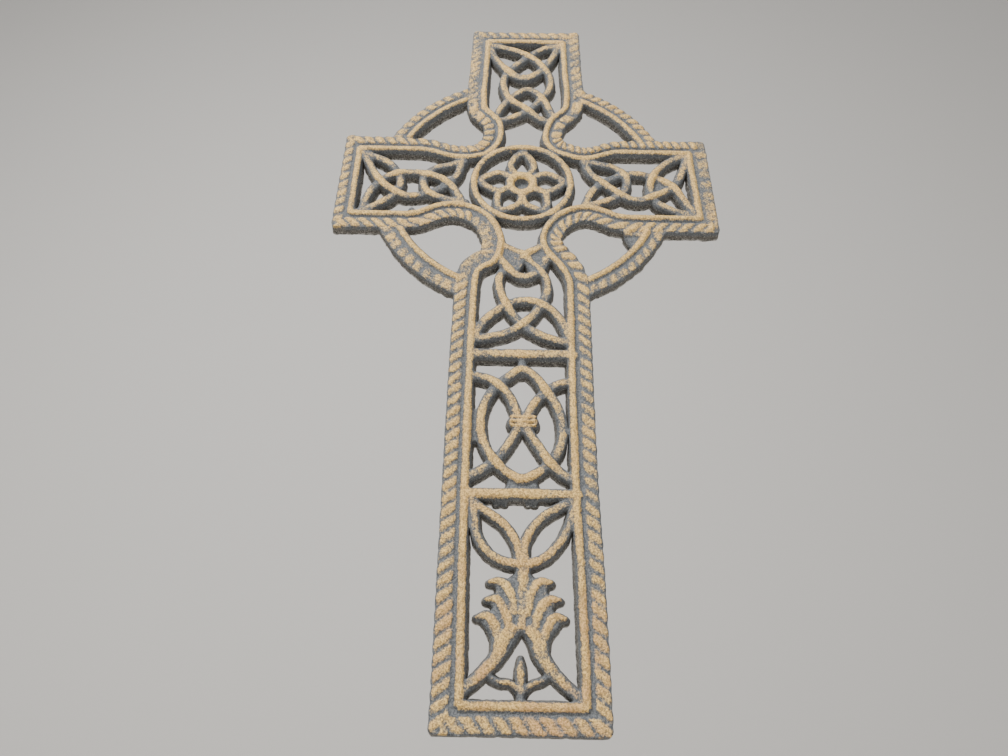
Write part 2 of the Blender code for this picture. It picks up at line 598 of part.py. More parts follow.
def build_foot_bud():
    """The almond between the legs, on the curved arms and the small stem that carry it."""
    strand("small_stem", [(0, -311), (0, -320)], "shaft", rise=-0.0014, half=SMALL_HALF)
    strand("bud", [(-0.2, -297.6), (-0.2, -301), (-0.2, -306),
                   (-0.1, -313)], "shaft", rise=-0.0020, half=BUD_HALF,
           widths=(0.3, 0.9, 1, 0.8))
    strand("left_small_arm", [(-15.4, -306), (-11, -308.6), (-5, -309.4),
                              (0.5, -313.6)], "shaft", rise=-0.0009, half=SMALL_HALF)
    strand("right_small_arm", [(13.6, -305), (9.6, -308), (5, -309.6),
                               (-0.5, -313.8)], "shaft", rise=-0.0011, half=SMALL_HALF)


def finish():
    """Joins every shape in one casting, cuts the back flat and stands it up at the origin."""
    bed = plate("bed", [(-0.002, TOP_REACH - 0.001), (0.002, TOP_REACH - 0.001), (0.002, TOP_REACH + 0.004),
                        (-0.002, TOP_REACH + 0.004)], GROOVE_TOP - 0.0006)
    unions.objects.unlink(bed)
    cross = bed
    cross.name = "cross"
    cross.data.name = "cross"
    cross.display_type = "TEXTURED"
    casting.objects.link(cross)
    join = cross.modifiers.new("join", "BOOLEAN")
    join.operation = "UNION"
    join.operand_type = "COLLECTION"
    join.collection = unions
    join.solver = "EXACT"
    bpy.context.view_layer.update()
    graph = bpy.context.evaluated_depsgraph_get()
    mesh = bpy.data.meshes.new_from_object(cross.evaluated_get(graph))
    mesh.transform(cross.matrix_world)
    cross.modifiers.clear()
    cross.matrix_world = Matrix.Identity(4)
    upright = Matrix.Translation((0, 0, -HANG_HEIGHT)) @ Matrix.Rotation(math.pi / 2, 4, "X")
    mesh.transform(upright)
    mesh.name = "cross"
    cross.data = mesh
    mesh.set_sharp_from_angle(angle=math.radians(38))
    iron = bpy.data.materials.new("patinated_iron")
    iron.use_nodes = True
    shader = iron.node_tree.nodes["Principled BSDF"]
    shader.inputs["Base Color"].default_value = (0.42, 0.33, 0.22, 1)
    shader.inputs["Metallic"].default_value = 0.6
    shader.inputs["Roughness"].default_value = 0.55
    mesh.materials.clear()
    mesh.materials.append(iron)


clear_scene()
bpy.context.scene.unit_settings.scale_length = 1.0
casting = collection("Celtic cross")
unions = collection("Joined shapes", hidden=True)
helpers = collection("Sections and cutters", hidden=True)
sections = {
    "bead": profile("bead_section", round_bar(BEAD_HALF, BEAD_TOP, BEAD_CREST)),
    "strand": profile("strand_section", round_bar(STRAND_HALF, STRAND_TOP)),
    "petal": profile("petal_section", round_bar(STRAND_HALF * 0.86, STRAND_TOP)),
    "groove_right": profile("groove_right_section", groove(1)),
    "groove_left": profile("groove_left_section", groove(-1)),
}
build_borders()
build_ring()
build_centre()
build_knots()
build_upper_shaft()
build_lower_shaft()
build_spray()
build_foot_bud()
build_fin()
finish()
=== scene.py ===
"""Looks of an openwork celtic cross plaque: one rough casting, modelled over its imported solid.

The relief is a height field. Each bar, border and web says of every point of the face how far
inside its outline the point lies and how high the metal stands there over the flat back. The
shapes are joined with rounded seams, and the result becomes one closed mesh.

Lengths in the design are millimetres from the centre of the ring, x to the right and y up the
shaft, as seen from the front. The frame has x to the right, z up and the face along -y.
"""

import logging
import math
from dataclasses import dataclass
from enum import Enum
from typing import ClassVar

import bpy
import numpy as np
from mathutils import Matrix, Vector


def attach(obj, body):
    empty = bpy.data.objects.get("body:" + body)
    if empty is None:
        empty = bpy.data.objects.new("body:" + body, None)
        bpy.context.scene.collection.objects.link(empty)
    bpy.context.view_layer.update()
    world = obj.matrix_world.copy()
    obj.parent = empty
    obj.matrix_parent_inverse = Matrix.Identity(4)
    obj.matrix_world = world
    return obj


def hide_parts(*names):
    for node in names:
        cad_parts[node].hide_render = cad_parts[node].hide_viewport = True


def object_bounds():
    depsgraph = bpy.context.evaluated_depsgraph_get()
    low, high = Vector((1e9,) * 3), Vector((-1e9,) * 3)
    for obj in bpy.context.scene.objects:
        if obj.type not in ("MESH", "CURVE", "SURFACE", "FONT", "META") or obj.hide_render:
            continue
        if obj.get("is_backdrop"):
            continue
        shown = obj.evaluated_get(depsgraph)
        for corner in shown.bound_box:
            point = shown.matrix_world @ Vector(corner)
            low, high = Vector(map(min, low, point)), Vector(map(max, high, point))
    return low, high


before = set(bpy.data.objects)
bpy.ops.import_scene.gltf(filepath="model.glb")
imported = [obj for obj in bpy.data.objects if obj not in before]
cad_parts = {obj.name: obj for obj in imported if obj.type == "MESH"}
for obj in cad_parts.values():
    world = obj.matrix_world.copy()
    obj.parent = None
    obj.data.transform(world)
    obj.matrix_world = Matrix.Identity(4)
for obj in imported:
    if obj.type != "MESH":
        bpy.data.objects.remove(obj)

log = logging.getLogger("celtic_cross")
MM = 0.001
REACH = 2.6  # how far outside its outline a shape still joins in a seam
LEAST = 0.02  # least distance between two points of the mesh
STEPS = 8  # pieces of a curve between two drawn points
KEPT_FACETS = 0.66  # share of the triangles that stay once the back is thinned
Socket = bpy.types.NodeSocket
Source = Socket | float | tuple


class Lean(Enum):
    """Which way the rope's lobes lean: on or back along the run as they go outwards."""

    ON = 1
    BACK = -1


@dataclass(frozen=True)
class Sizes:
    """Driving sizes of the design, in millimetres.

    top, foot, left and right are the bead's distances from the ring's centre to the four ends, and
    the halves its distances from the arms' middle lines. band and end_band are the widths from the
    bead to the outer edge. hang is how high the mount is over the ring's centre. A name in _top or
    rope_base is a height over the back, weave the lift of a strand over another, and the drafts
    say how far the walls lean out on their way to the back.
    """

    top: float = 142.3
    foot: float = 319.3
    left: float = 111.4
    right: float = 113.0
    shaft_half: float = 29.0
    top_half: float = 29.6
    arm_half: float = 28.8
    band: float = 12.2
    end_band: float = 11.3
    hang: float = 147.65
    bead_top: float = 8.45
    groove_top: float = 6.4
    rope_base: float = 6.55
    rope_top: float = 8.3
    strand_top: float = 7.6
    weave: float = 0.7
    bead_half: float = 2.4
    strand_half: float = 2.75
    ring_radius: float = 88.2
    circle_radius: float = 31.9
    circle_x: float = -1.2
    hub_radius: float = 8.2
    petal_reach: float = 26.8
    petal_half: float = 7.8
    bar_one: float = -132.7
    bar_two: float = -217.5
    outer_draft: float = 0.45
    window_draft: float = 1.45


SIZES = Sizes()


def smooth_max(a: np.ndarray, b: np.ndarray, seam: float) -> np.ndarray:
    """The larger of two fields, with a rounded seam where they meet.

    Where the two are within the seam of each other, a square of how near they are is added.

    Args:
        a: First field.
        b: Second field.
        seam: Width over which the two run together.

    Returns:
        The joined field.
    """
    near = np.clip(seam - np.abs(a - b), 0, None) / seam
    return np.maximum(a, b) + near * near * seam / 4


@dataclass(frozen=True)
class Grain:
    """Smooth random grain of one size: its depth, the distance between its values, its seed."""

    depth: float
    size: float
    seed: int
    shift: float = 400.0

    def at(self, points: np.ndarray) -> np.ndarray:
        """The grain at some places: random values on a square grid, eased from one to the next.

        Args:
            points: Places in the design, one row each.

        Returns:
            One value for each place, within the depth up and down.
        """
        at = (points + self.shift) / self.size
        cell = np.floor(at).astype(int)
        rest = at - cell
        rest = rest * rest * (3 - 2 * rest)
        most = cell.max(axis=0) + 2
        table = np.random.default_rng(self.seed).uniform(-1, 1, (most[0], most[1]))
        x, y = cell.T
        low = table[x, y] * (1 - rest[:, 0]) + table[x + 1, y] * rest[:, 0]
        high = table[x, y + 1] * (1 - rest[:, 0]) + table[x + 1, y + 1] * rest[:, 0]
        return self.depth * (low * (1 - rest[:, 1]) + high * rest[:, 1])


def curve_through(points: tuple, closed: bool = False, handle: float = 0.39) -> np.ndarray:
    """Points along an even curve through the given ones.

    Each piece is a cubic whose handles follow the directions to both neighbours.

    Args:
        points: Drawn points, each x, y and, if it isn't 0, the lift over or under another strand.
        closed: Whether the curve comes back to its first point.
        handle: Length of the handles, as a share of the distance to the next point.

    Returns:
        One row of x, y and lift for each point of the curve.
    """
    p = np.array([tuple(q) + (0.0,) * (3 - len(q)) for q in points], float)
    before, after = np.roll(p, 1, axis=0), np.roll(p, -1, axis=0)
    if not closed:
        before[0], after[-1] = 2 * p[0] - p[1], 2 * p[-1] - p[-2]
    back, ahead = p - before, after - p
    short, long = np.linalg.norm(back, axis=1)[:, None], np.linalg.norm(ahead, axis=1)[:, None]
    lean = back / short + ahead / long
    lean *= handle / np.linalg.norm(lean, axis=1)[:, None]
    left, right = p - lean * short, p + lean * long
    stop = len(p) if closed else len(p) - 1
    a, b = p[:stop, None], right[:stop, None]
    c, d = np.roll(left, -1, axis=0)[:stop, None], np.roll(p, -1, axis=0)[:stop, None]
    t = np.linspace(0, 1, STEPS + 1)[:-1][None, :, None]
    run = a * (1 - t) ** 3 + 3 * b * t * (1 - t) ** 2 + 3 * c * t * t * (1 - t) + d * t**3
    end = p[:1] if closed else p[-1:]
    return np.concatenate([run.reshape(-1, 3), end])


def lengths_along(line: np.ndarray) -> np.ndarray:
    """Length along a line up to each of its points."""
    return np.concatenate([[0], np.cumsum(np.linalg.norm(np.diff(line[:, :2], axis=0), axis=1))])


def nearest(points: np.ndarray, line: np.ndarray, run_on: bool = False) -> tuple[np.ndarray, np.ndarray]:
    """Where each point lies beside a line: each point is dropped on every piece of the line.

    Args:
        points: Places in the design, one row each.
        line: Points of the line.
        run_on: Whether the first and last straight pieces run on past the line's ends.

    Returns:
        The distance to the left of the line, negative to the right, and the length along it.
    """
    start, step = line[:-1, :2], np.diff(line[:, :2], axis=0)
    square = (step * step).sum(axis=1)
    reached = lengths_along(line)
    aside, along = np.empty(len(points)), np.empty(len(points))
    block = 6000
    for i in range(0, len(points), block):
        p = points[i : i + block]
        away = p[:, None] - start[None]
        share = (away * step).sum(axis=2) / square
        held = np.clip(share, 0, 1)
        rest = away - held[..., None] * step
        distance = (rest * rest).sum(axis=2)
        k = distance.argmin(axis=1)
        row = np.arange(len(p))
        share, held, distance = share[row, k], held[row, k], np.sqrt(distance[row, k])
        away, here = away[row, k], step[k]
        side = here[:, 0] * away[:, 1] - here[:, 1] * away[:, 0]
        if run_on:
            past = ((k == 0) & (share < 0)) | ((k == len(step) - 1) & (share > 1))
            held = np.where(past, share, held)
            distance = np.where(past, np.abs(side) / np.sqrt(square[k]), distance)
        aside[i : i + block] = np.where(side < 0, -distance, distance)
        along[i : i + block] = reached[k] + held * np.sqrt(square[k])
    return aside, along


class Relief:
    """The metal over a set of points: how far inside the outline they are, and how high.

    outer marks the points by the plaque's outer edge, whose wall leans less than a window's.
    """

    def __init__(self, points: np.ndarray) -> None:
        """Starts with no metal at any of the points."""
        self.points = points
        self.inside = np.full(len(points), -9.0)
        self.height = np.zeros(len(points))
        self.outer = np.zeros(len(points))

    def near(self, low: np.ndarray, high: np.ndarray) -> np.ndarray:
        """Numbers of the points that lie in a box."""
        return np.flatnonzero(((self.points > low) & (self.points < high)).all(axis=1))

    def join(self, index: np.ndarray, inside: np.ndarray, height: np.ndarray,
             corner: float = 1.5, seam: float = 0.45) -> None:
        """Adds a shape's metal, with a fillet in the outline's corners and a seam on the face.

        Args:
            index: Which points the shape speaks of.
            inside: How far inside its own outline they are.
            height: How high it stands there.
            corner: Size of the fillets in the outline.
            seam: Size of the seams on the face.
        """
        keep = inside > -REACH
        index, inside, height = index[keep], inside[keep], height[keep]
        self.height[index] = smooth_max(self.height[index], height, seam)
        self.inside[index] = smooth_max(self.inside[index], inside, corner)


@dataclass(frozen=True)
class Bar:
    """A round-topped bar along a curve: a strand of a knot, a petal, a leaf's edge or a crossbar.

    A point is x, y and, if it isn't 0, its lift over or under another strand. widths are shares of
    the width at even steps along the bar. The face falls from the crest by crown times the share
    of the half width that a point is out, to the power fall, and by thinning where it is narrow.
    """

    name: str
    points: tuple
    half: float = SIZES.strand_half
    top: float = SIZES.strand_top
    closed: bool = False
    widths: tuple = (1.0, 1.0)
    crown: float = 1.25
    fall: float = 3.2
    thinning: float = 0.8
    beside: float = 2.8

    def draw(self, relief: Relief) -> None:
        """Adds the bar to a relief.

        Args:
            relief: The relief that gets the bar.
        """
        line = curve_through(self.points, self.closed)
        margin = self.half + self.beside
        index = relief.near(line[:, :2].min(axis=0) - margin, line[:, :2].max(axis=0) + margin)
        aside, along = nearest(relief.points[index], line)
        away = np.abs(aside)
        keep = away < margin
        index, away, along = index[keep], away[keep], along[keep]
        reached = lengths_along(line)
        lift = np.interp(along, reached, line[:, 2]) * SIZES.weave
        steps = np.linspace(0, 1, len(self.widths))
        share = np.interp(along / reached[-1], steps, self.widths)
        half = self.half * share
        drop = self.crown * (away / half) ** self.fall
        relief.join(index, half - away, self.top + lift - drop - (1 - share) * self.thinning)


@dataclass(frozen=True)
class Web:
    """A flat web that fills a corner or a loop, with its edge rounded over by edge."""

    name: str
    outline: tuple
    top: float
    edge: float = 0.9

    def draw(self, relief: Relief) -> None:
        """Adds the web to a relief.

        A point is within where a line from it to the right crosses an odd number of sides.

        Args:
            relief: The relief that gets the web.
        """
        ring = np.array(self.outline + self.outline[:1], float)
        margin = REACH + 0.4
        index = relief.near(ring.min(axis=0) - margin, ring.max(axis=0) + margin)
        p = relief.points[index]
        aside, _ = nearest(p, ring)
        a, b = ring[:-1], ring[1:]
        spans = (a[None, :, 1] > p[:, None, 1]) != (b[None, :, 1] > p[:, None, 1])
        rise = np.where(b[:, 1] == a[:, 1], 1.0, b[:, 1] - a[:, 1])
        cut = a[None, :, 0] + (p[:, None, 1] - a[None, :, 1]) * ((b - a)[:, 0] / rise)[None]
        within = (spans & (p[:, None, 0] < cut)).sum(axis=1) % 2 == 1
        inside = np.where(within, np.abs(aside), -np.abs(aside))
        relief.join(index, inside, self.top - self.edge * np.clip(1 - inside, 0, None) ** 2)


@dataclass(frozen=True)
class Section:
    """How the border's section is rounded, in millimetres. From the window out: bead, groove, rope.

    The bead falls by bead_fall at its half width. The groove starts at groove_from and fills up
    where the rope is weak. The rope starts rope_gap past the bead, rises over rope_rise and drops
    by rim_drop over the last rim_fall before the outer edge, which corner rounds at an end. run is
    the range of lengths over which the rope's turns are counted.
    """

    bead_fall: float = 1.5
    bead_power: float = 2.8
    groove_from: float = -2.0
    groove_fill: float = 0.9
    seam: float = 0.8
    past_end: float = 0.6
    beyond_end: float = 1.2
    corner: float = 3.0
    outer_from: float = 4.0
    inner_reach: float = 5.4
    rope_gap: float = 1.5
    rope_rise: float = 1.8
    rim_fall: float = 1.3
    rim_drop: float = 0.35
    rim_share: float = 0.55
    lobe_power: float = 1.8
    lobe_floor: float = 0.25
    run: tuple = (-20.0, 460.0)


SECTION = Section()


@dataclass(frozen=True)
class Border:
    """A run of border: a bead along its line and, beside it, a groove and a rope.

    out is 1 where the rope lies to the right of the way the line runs. run_on says how far the
    rope goes on past the two ends of the line, and the bead stops at the ends. bands gives the
    outer edge's distance from the bead at some lengths along the run, and beats the rope there:
    length, pitch of the lobes, their slant and their strength.
    """

    name: str
    points: tuple
    out: int
    lean: Lean
    run_on: tuple = (0.0, 0.0)
    bands: tuple = ((0.0, 12.0),)
    beats: tuple = ((0.0, 7.2, 0.7, 1.0),)
    phase: float = 0.0
    curved: bool = True
    notch: float = 0.45

    def line(self) -> np.ndarray:
        """The bead's crest, straight at both ends and a curve between them."""
        if not self.curved:
            return np.array(self.points, float)
        middle = curve_through(self.points[1:-1])[:, :2]
        return np.concatenate([self.points[:1], middle, self.points[-1:]])

    def draw(self, relief: Relief) -> None:
        """Adds the border to a relief.

        The bead falls from its crest by a power of the distance, the groove is level, and the rope
        stands beside it. The outer edge is rounded where it meets the border's own end.

        Args:
            relief: The relief that gets the border.
        """
        line, s = self.line(), SECTION
        margin = SIZES.band + s.corner
        index = relief.near(line.min(axis=0) - margin, line.max(axis=0) + margin)
        aside, along = nearest(relief.points[index], line, run_on=True)
        out = -self.out * aside
        keep = (out > -s.inner_reach) & (out < margin)
        index, out, along = index[keep], out[keep], along[keep]
        total = lengths_along(line)[-1]
        on_bead = np.minimum(along, total - along) > -s.past_end
        ahead, behind = along + self.run_on[0], total + self.run_on[1] - along
        rim = np.interp(along, *np.array(self.bands).T)
        rope, scallop = self.rope(along, out, rim)
        strength = np.interp(along, *np.array(self.beats)[:, [0, 3]].T)
        groove = SIZES.groove_top + s.groove_fill * np.clip(1 - strength, 0, 1)
        groove = np.where(out > s.groove_from, groove, 0)
        bead = SIZES.bead_top - s.bead_fall * (np.abs(out) / SIZES.bead_half) ** s.bead_power
        bead = np.where(on_bead, bead, 0)
        edge, end, c = rim - out - scallop, np.minimum(ahead, behind), s.corner
        rounded = np.where((edge < c) & (end < c), c - np.hypot(c - edge, c - end), np.minimum(edge, end))
        inner = np.where(on_bead, SIZES.bead_half + out, out + s.beyond_end)
        height = np.maximum(smooth_max(bead, groove, s.seam), rope)
        relief.join(index, np.minimum(rounded, inner), height)
        relief.outer[index[out > s.outer_from]] = 1

    def rope(self, along: np.ndarray, out: np.ndarray, rim: np.ndarray) -> tuple[np.ndarray, np.ndarray]:
        """The rope beside the bead.

        Each lobe is a round-topped ridge that leans across the band, from the groove to the rim.
        The count of turns is the sum of 1 over the pitch along the run, and a lobe is one turn.

        Args:
            along: Each point's length along the run.
            out: Its distance outwards from the bead's crest.
            rim: The outer edge's distance from the crest there.

        Returns:
            The rope's height over the back, and how far the outer edge draws in between lobes.
        """
        s = SECTION
        near = SIZES.bead_half + s.rope_gap
        at, pitch, slants, strengths = np.array(self.beats).T
        slant = np.interp(along, at, slants)
        strength = np.interp(along, at, strengths)
        steps = np.arange(*s.run)
        turns = np.cumsum(1 / np.interp(steps, at, pitch))
        place = along - self.lean.value * slant * (out - near) + self.phase
        turn = np.interp(place, steps, turns)
        away = np.abs(turn - np.floor(turn) - 0.5) * 2
        lobe = np.clip(1 - away**s.lobe_power, 0, None)
        inner = np.clip((out - near) / s.rope_rise, 0, 1)
        outer = np.clip((rim - out) / s.rim_fall, 0, 1)
        sides = np.sqrt(np.clip(1 - (1 - inner) ** 2, 0, 1)) * (s.rim_share + (1 - s.rim_share) * outer)
        base = SIZES.rope_base - s.rim_drop * (1 - outer)
        rise = (SIZES.rope_top - SIZES.rope_base) * (s.lobe_floor + (1 - s.lobe_floor) * lobe * strength)
        height = np.where(out > near, base + rise * sides, 0)
        return height, self.notch * strength * away**2


@dataclass(frozen=True)
class RingArc(Border):
    """A quarter of the ring. It ends against the borders of two arms.

    under says how far it runs on under an arm's edge, and steep how fast its face drops there.
    """

    under: float = 1.5
    clear_by: float = 0.4
    steep: float = 3.0

    def draw(self, relief: Relief) -> None:
        """Adds the arc to a relief, leaving the arms' own borders clear.

        Args:
            relief: The relief that gets the arc.
        """
        alone = Relief(relief.points)
        super().draw(alone)
        index = np.flatnonzero(alone.inside > -REACH)
        x, y = np.abs(relief.points[index]).T
        half = np.where(relief.points[index, 1] > 0, SIZES.top_half, SIZES.shaft_half)
        clear = np.minimum(x - half, y - SIZES.arm_half) - SIZES.end_band
        inside = np.minimum(alone.inside[index], clear + self.under)
        drop = self.steep * np.minimum(clear + self.clear_by, 0)
        relief.join(index, inside, alone.height[index] + drop)
        relief.outer[index[alone.outer[index] > 0]] = 1


def ring_of(x: float, y: float, radius: float, sides: int = 24) -> tuple:
    """Points round a circle: the centre plus the radius times the cosine and sine of even turns."""
    turn = np.arange(sides) * 2 * math.pi / sides
    return tuple(zip((x + radius * np.cos(turn)).tolist(), (y + radius * np.sin(turn)).tolist()))


@dataclass(frozen=True)
class Borders:
    """The roped border of the four arms: four armpit runs and four end runs.

    The corners are the bead's left and right ends at the top and the foot. right_lean is how much
    further left the right arm's end is at its upper corner. A side run stops by tuck short of the
    outer corner under its arm.
    """

    sizes: Sizes = SIZES
    corner: float = 5.0
    top_corners: tuple = (-27.3, 28.6)
    foot_corners: tuple = (-28.3, 29.8)
    right_lean: float = 1.8
    tuck: float = 0.2

    def shapes(self) -> list[Border]:
        """The border's runs."""
        return self.armpits() + self.ends()

    def armpits(self) -> list[Border]:
        """The four runs from an end of the shaft round an armpit to the end of a side arm.

        Returns:
            The runs, each with the drawn line of its bead and its rope's bands and beats.
        """
        s = self.sizes
        upper_left = ((-28.0, 110), (-28.6, 78), (-27.6, 70), (-22.5, 63.5), (-18, 57), (-16.3, 50),
                      (-16.3, 43), (-18, 35.5), (-21.5, 30), (-26, 25.5), (-33, 23), (-40, 22),
                      (-47, 22.5), (-54, 24.2), (-61, 26.8), (-68, 28.6), (-75, 28.8))
        upper_right = ((29.2, 110), (29.9, 78), (28.5, 70.5), (24, 65), (19.5, 60), (17, 54), (15, 47),
                       (14.5, 42), (15.5, 36.5), (18.5, 31.5), (23, 27.8), (28, 25.8), (33, 24),
                       (38, 22.8), (43, 22.8), (50, 24.7), (56.7, 27.3), (62.7, 28.7), (75, 29))
        lower_left = ((-28.3, -300), (-29.6, -240), (-30, -200), (-30, -100), (-29.6, -85), (-29, -78),
                      (-27.3, -73), (-23, -69.3), (-19, -66.8), (-16, -62), (-14.5, -56), (-14.2, -49),
                      (-15.5, -43), (-18, -36.5), (-21.5, -31), (-26, -26.8), (-31, -23.5), (-37, -21),
                      (-44, -19.8), (-51, -20.2), (-58, -22.4), (-64, -25.5), (-70, -28.2), (-76, -28.8))
        lower_right = ((29.8, -300), (29, -250), (28.2, -225), (28.2, -100), (28.3, -88), (27.9, -80.6),
                       (26.2, -75), (23.7, -70), (20.5, -65), (17.4, -61.2), (14.3, -56.2), (12.3, -50),
                       (12.8, -43.5), (15, -37.5), (18.5, -32), (23, -27.5), (28, -24), (34, -21.5),
                       (40, -20.7), (46, -21.5), (52, -23.8), (57, -26.2), (62, -28), (70, -28.8))
        foot, head = (s.band, self.corner), (s.end_band, self.corner)
        (top_left, top_right), (foot_left, foot_right) = self.top_corners, self.foot_corners
        return [
            Border("upper_left_border", ((top_left, s.top), *upper_left, (-s.left, s.arm_half)),
                   1, Lean.ON, head, phase=2.0,
                   bands=((0, 11.9), (70, 12.0), (110, 11.8), (150, 10.3), (172, 10.2), (192, 11.3)),
                   beats=((0, 5.5, 0.7, 0.3), (60, 5.5, 0.7, 0.3), (85, 8, 0.3, 0.8), (112, 8, 0.3, 0.9),
                          (125, 7.2, 0.7, 0.9))),
            Border("upper_right_border",
                   ((top_right, s.top), *upper_right, (s.right - self.right_lean, s.arm_half)),
                   -1, Lean.BACK, head, phase=5.0,
                   bands=((0, 12.6), (70, 12.0), (110, 11.7), (152, 9.8), (167, 10.6), (187, 11.2)),
                   beats=((0, 8, 0.7, 0.4), (60, 8, 0.7, 0.4), (66, 11, 0.15, 1.1), (108, 11, 0.15, 1.1),
                          (125, 5.8, 0.4, 1.1))),
            Border("lower_left_border", ((foot_left, -s.foot), *lower_left, (-s.left, -s.arm_half)),
                   -1, Lean.BACK, foot,
                   bands=((0, 13.3), (20, 13.3), (80, 12.3), (120, 12.0), (230, 12.0), (300, 12.1)),
                   beats=((0, 7.05, 0.7, 0.8), (235, 7.05, 0.7, 0.8), (245, 7.5, 0.7, 0.3),
                          (300, 7.5, 0.7, 0.3), (310, 8, 0.9, 0.9))),
            Border("lower_right_border", ((foot_right, -s.foot), *lower_right, (s.right, -s.arm_half)),
                   1, Lean.BACK, foot, phase=3.0,
                   bands=((0, 11.7), (20, 11.7), (90, 12.0), (235, 12.0), (300, 12.1)),
                   beats=((0, 7.3, 0.7, 0.8), (225, 7.3, 0.7, 0.8), (235, 7.3, 0.5, 1.1),
                          (270, 7.3, 0.5, 1.1), (280, 8.2, 0.9, 0.9))),
        ]

    def ends(self) -> list[Border]:
        """The four straight runs across the ends of the arms.

        Returns:
            The runs. Each one's rope goes on past the bead to the outer corners.
        """
        s, on = self.sizes, (self.corner, self.corner)
        (top_left, top_right), (foot_left, foot_right) = self.top_corners, self.foot_corners
        up, down, high = s.end_band, s.band - self.tuck, s.right - self.right_lean
        return [
            Border("top_border", ((top_left, s.top), (top_right, s.top)), -1, Lean.BACK, on,
                   bands=((0, s.end_band),), beats=((0, 7.7, 0.7, 0.7),), curved=False),
            Border("foot_border", ((foot_right, -s.foot), (foot_left, -s.foot)), -1, Lean.BACK, on,
                   bands=((0, s.band),), beats=((0, 7.3, 0.7, 0.8),), curved=False),
            Border("left_border", ((-s.left, -s.arm_half), (-s.left, s.arm_half)), -1, Lean.BACK,
                   (down, up), bands=((0, 11.0), (57, 10.4)), beats=((0, 7.3, 0.6, 0.7),), curved=False),
            Border("right_border", ((high, s.arm_half), (s.right + 0.1, -s.arm_half)), -1, Lean.BACK,
                   (up, down), bands=((0, 12.4), (57, 11.2)), beats=((0, 9, 0, 0.35),), curved=False),
        ]


@dataclass(frozen=True)
class ArcRope:
    """The rope on one quarter of the ring: its lean, slant, pitch, strength, band and phase."""

    name: str
    lean: Lean
    slant: float
    pitch: float
    strength: float
    band: float
    phase: float


@dataclass(frozen=True)
class Ring:
    """The ring round the crossing, in four arcs drawn counter-clockwise."""

    sizes: Sizes = SIZES
    sides: int = 40
    under: float = 1.5
    overlap: float = 1.0
    ropes: tuple = (
        ArcRope("upper_right", Lean.BACK, 0.5, 6.0, 0.9, 10.4, 0.0),
        ArcRope("upper_left", Lean.ON, 0.45, 7.0, 0.7, 10.4, 3.0),
        ArcRope("lower_left", Lean.ON, 0.25, 7.0, 0.5, 12.0, 2.0),
        ArcRope("lower_right", Lean.BACK, 0.5, 7.0, 0.5, 10.4, 5.0),
    )

    def shapes(self) -> list[RingArc]:
        """The ring's arcs. Each runs between the turns at which its rope meets two arms' edges.

        Returns:
            The arcs, quarter by quarter.
        """
        s = self.sizes
        made = []
        for quarter, rope in enumerate(self.ropes):
            half = s.top_half if quarter < 2 else s.shaft_half
            low = math.asin((s.arm_half + s.band - self.overlap) / (s.ring_radius + s.band))
            high = math.acos((half + s.band - self.overlap) / (s.ring_radius + s.band))
            if quarter % 2:
                low, high = math.pi / 2 - high, math.pi / 2 - low
            turn = np.linspace(low, high, self.sides) + quarter * math.pi / 2
            line = s.ring_radius * np.stack([np.cos(turn), np.sin(turn)], axis=1)
            beat = (0, rope.pitch, rope.slant, rope.strength)
            made.append(RingArc(f"ring_{rope.name}", tuple(map(tuple, line.tolist())), 1, rope.lean,
                                (self.under, self.under), ((0, rope.band),), (beat,),
                                rope.phase, curved=False))
        return made


@dataclass(frozen=True)
class Crossing:
    """The circle in the crossing, with its five-petalled flower.

    shares draw half a petal and then the other: how far out along it, and how far aside.
    """

    sizes: Sizes = SIZES
    angles: tuple = (90, 3, 176, -57, -122)
    hub_shift: float = -0.3
    floor_top: float = 3.0
    hub_half: float = 2.8
    shares: tuple = ((0, -0.62), (0.35, -1), (0.72, -0.72), (1, 0), (0.72, 0.72), (0.35, 1), (0, 0.62))

    def shapes(self) -> list[Bar | Web]:
        """The circle, the hub and the petals.

        Returns:
            The circle and hub as rings, a floor in the hub, and one loop a petal.
        """
        s = self.sizes
        x, shift = s.circle_x, self.hub_shift
        made = [
            Bar("circle", ring_of(x, 0, s.circle_radius), s.bead_half, s.bead_top, closed=True),
            Web("flower_floor", ring_of(x + shift, shift, s.hub_radius - 0.2), self.floor_top),
            Bar("flower_hub", ring_of(x + shift, shift, s.hub_radius - 0.4, 14), self.hub_half,
                s.strand_top - 0.1, closed=True),
        ]
        for i, degrees in enumerate(self.angles):
            a = math.radians(degrees)
            loop = []
            for out, across in self.shares:
                r, w = s.hub_radius + out * (s.petal_reach - s.hub_radius), across * s.petal_half
                loop.append((x + r * math.cos(a) - w * math.sin(a), r * math.sin(a) + w * math.cos(a)))
            made.append(Bar(f"petal_{i + 1}", tuple(loop), s.strand_half * 0.98, s.strand_top - 0.3))
        return made


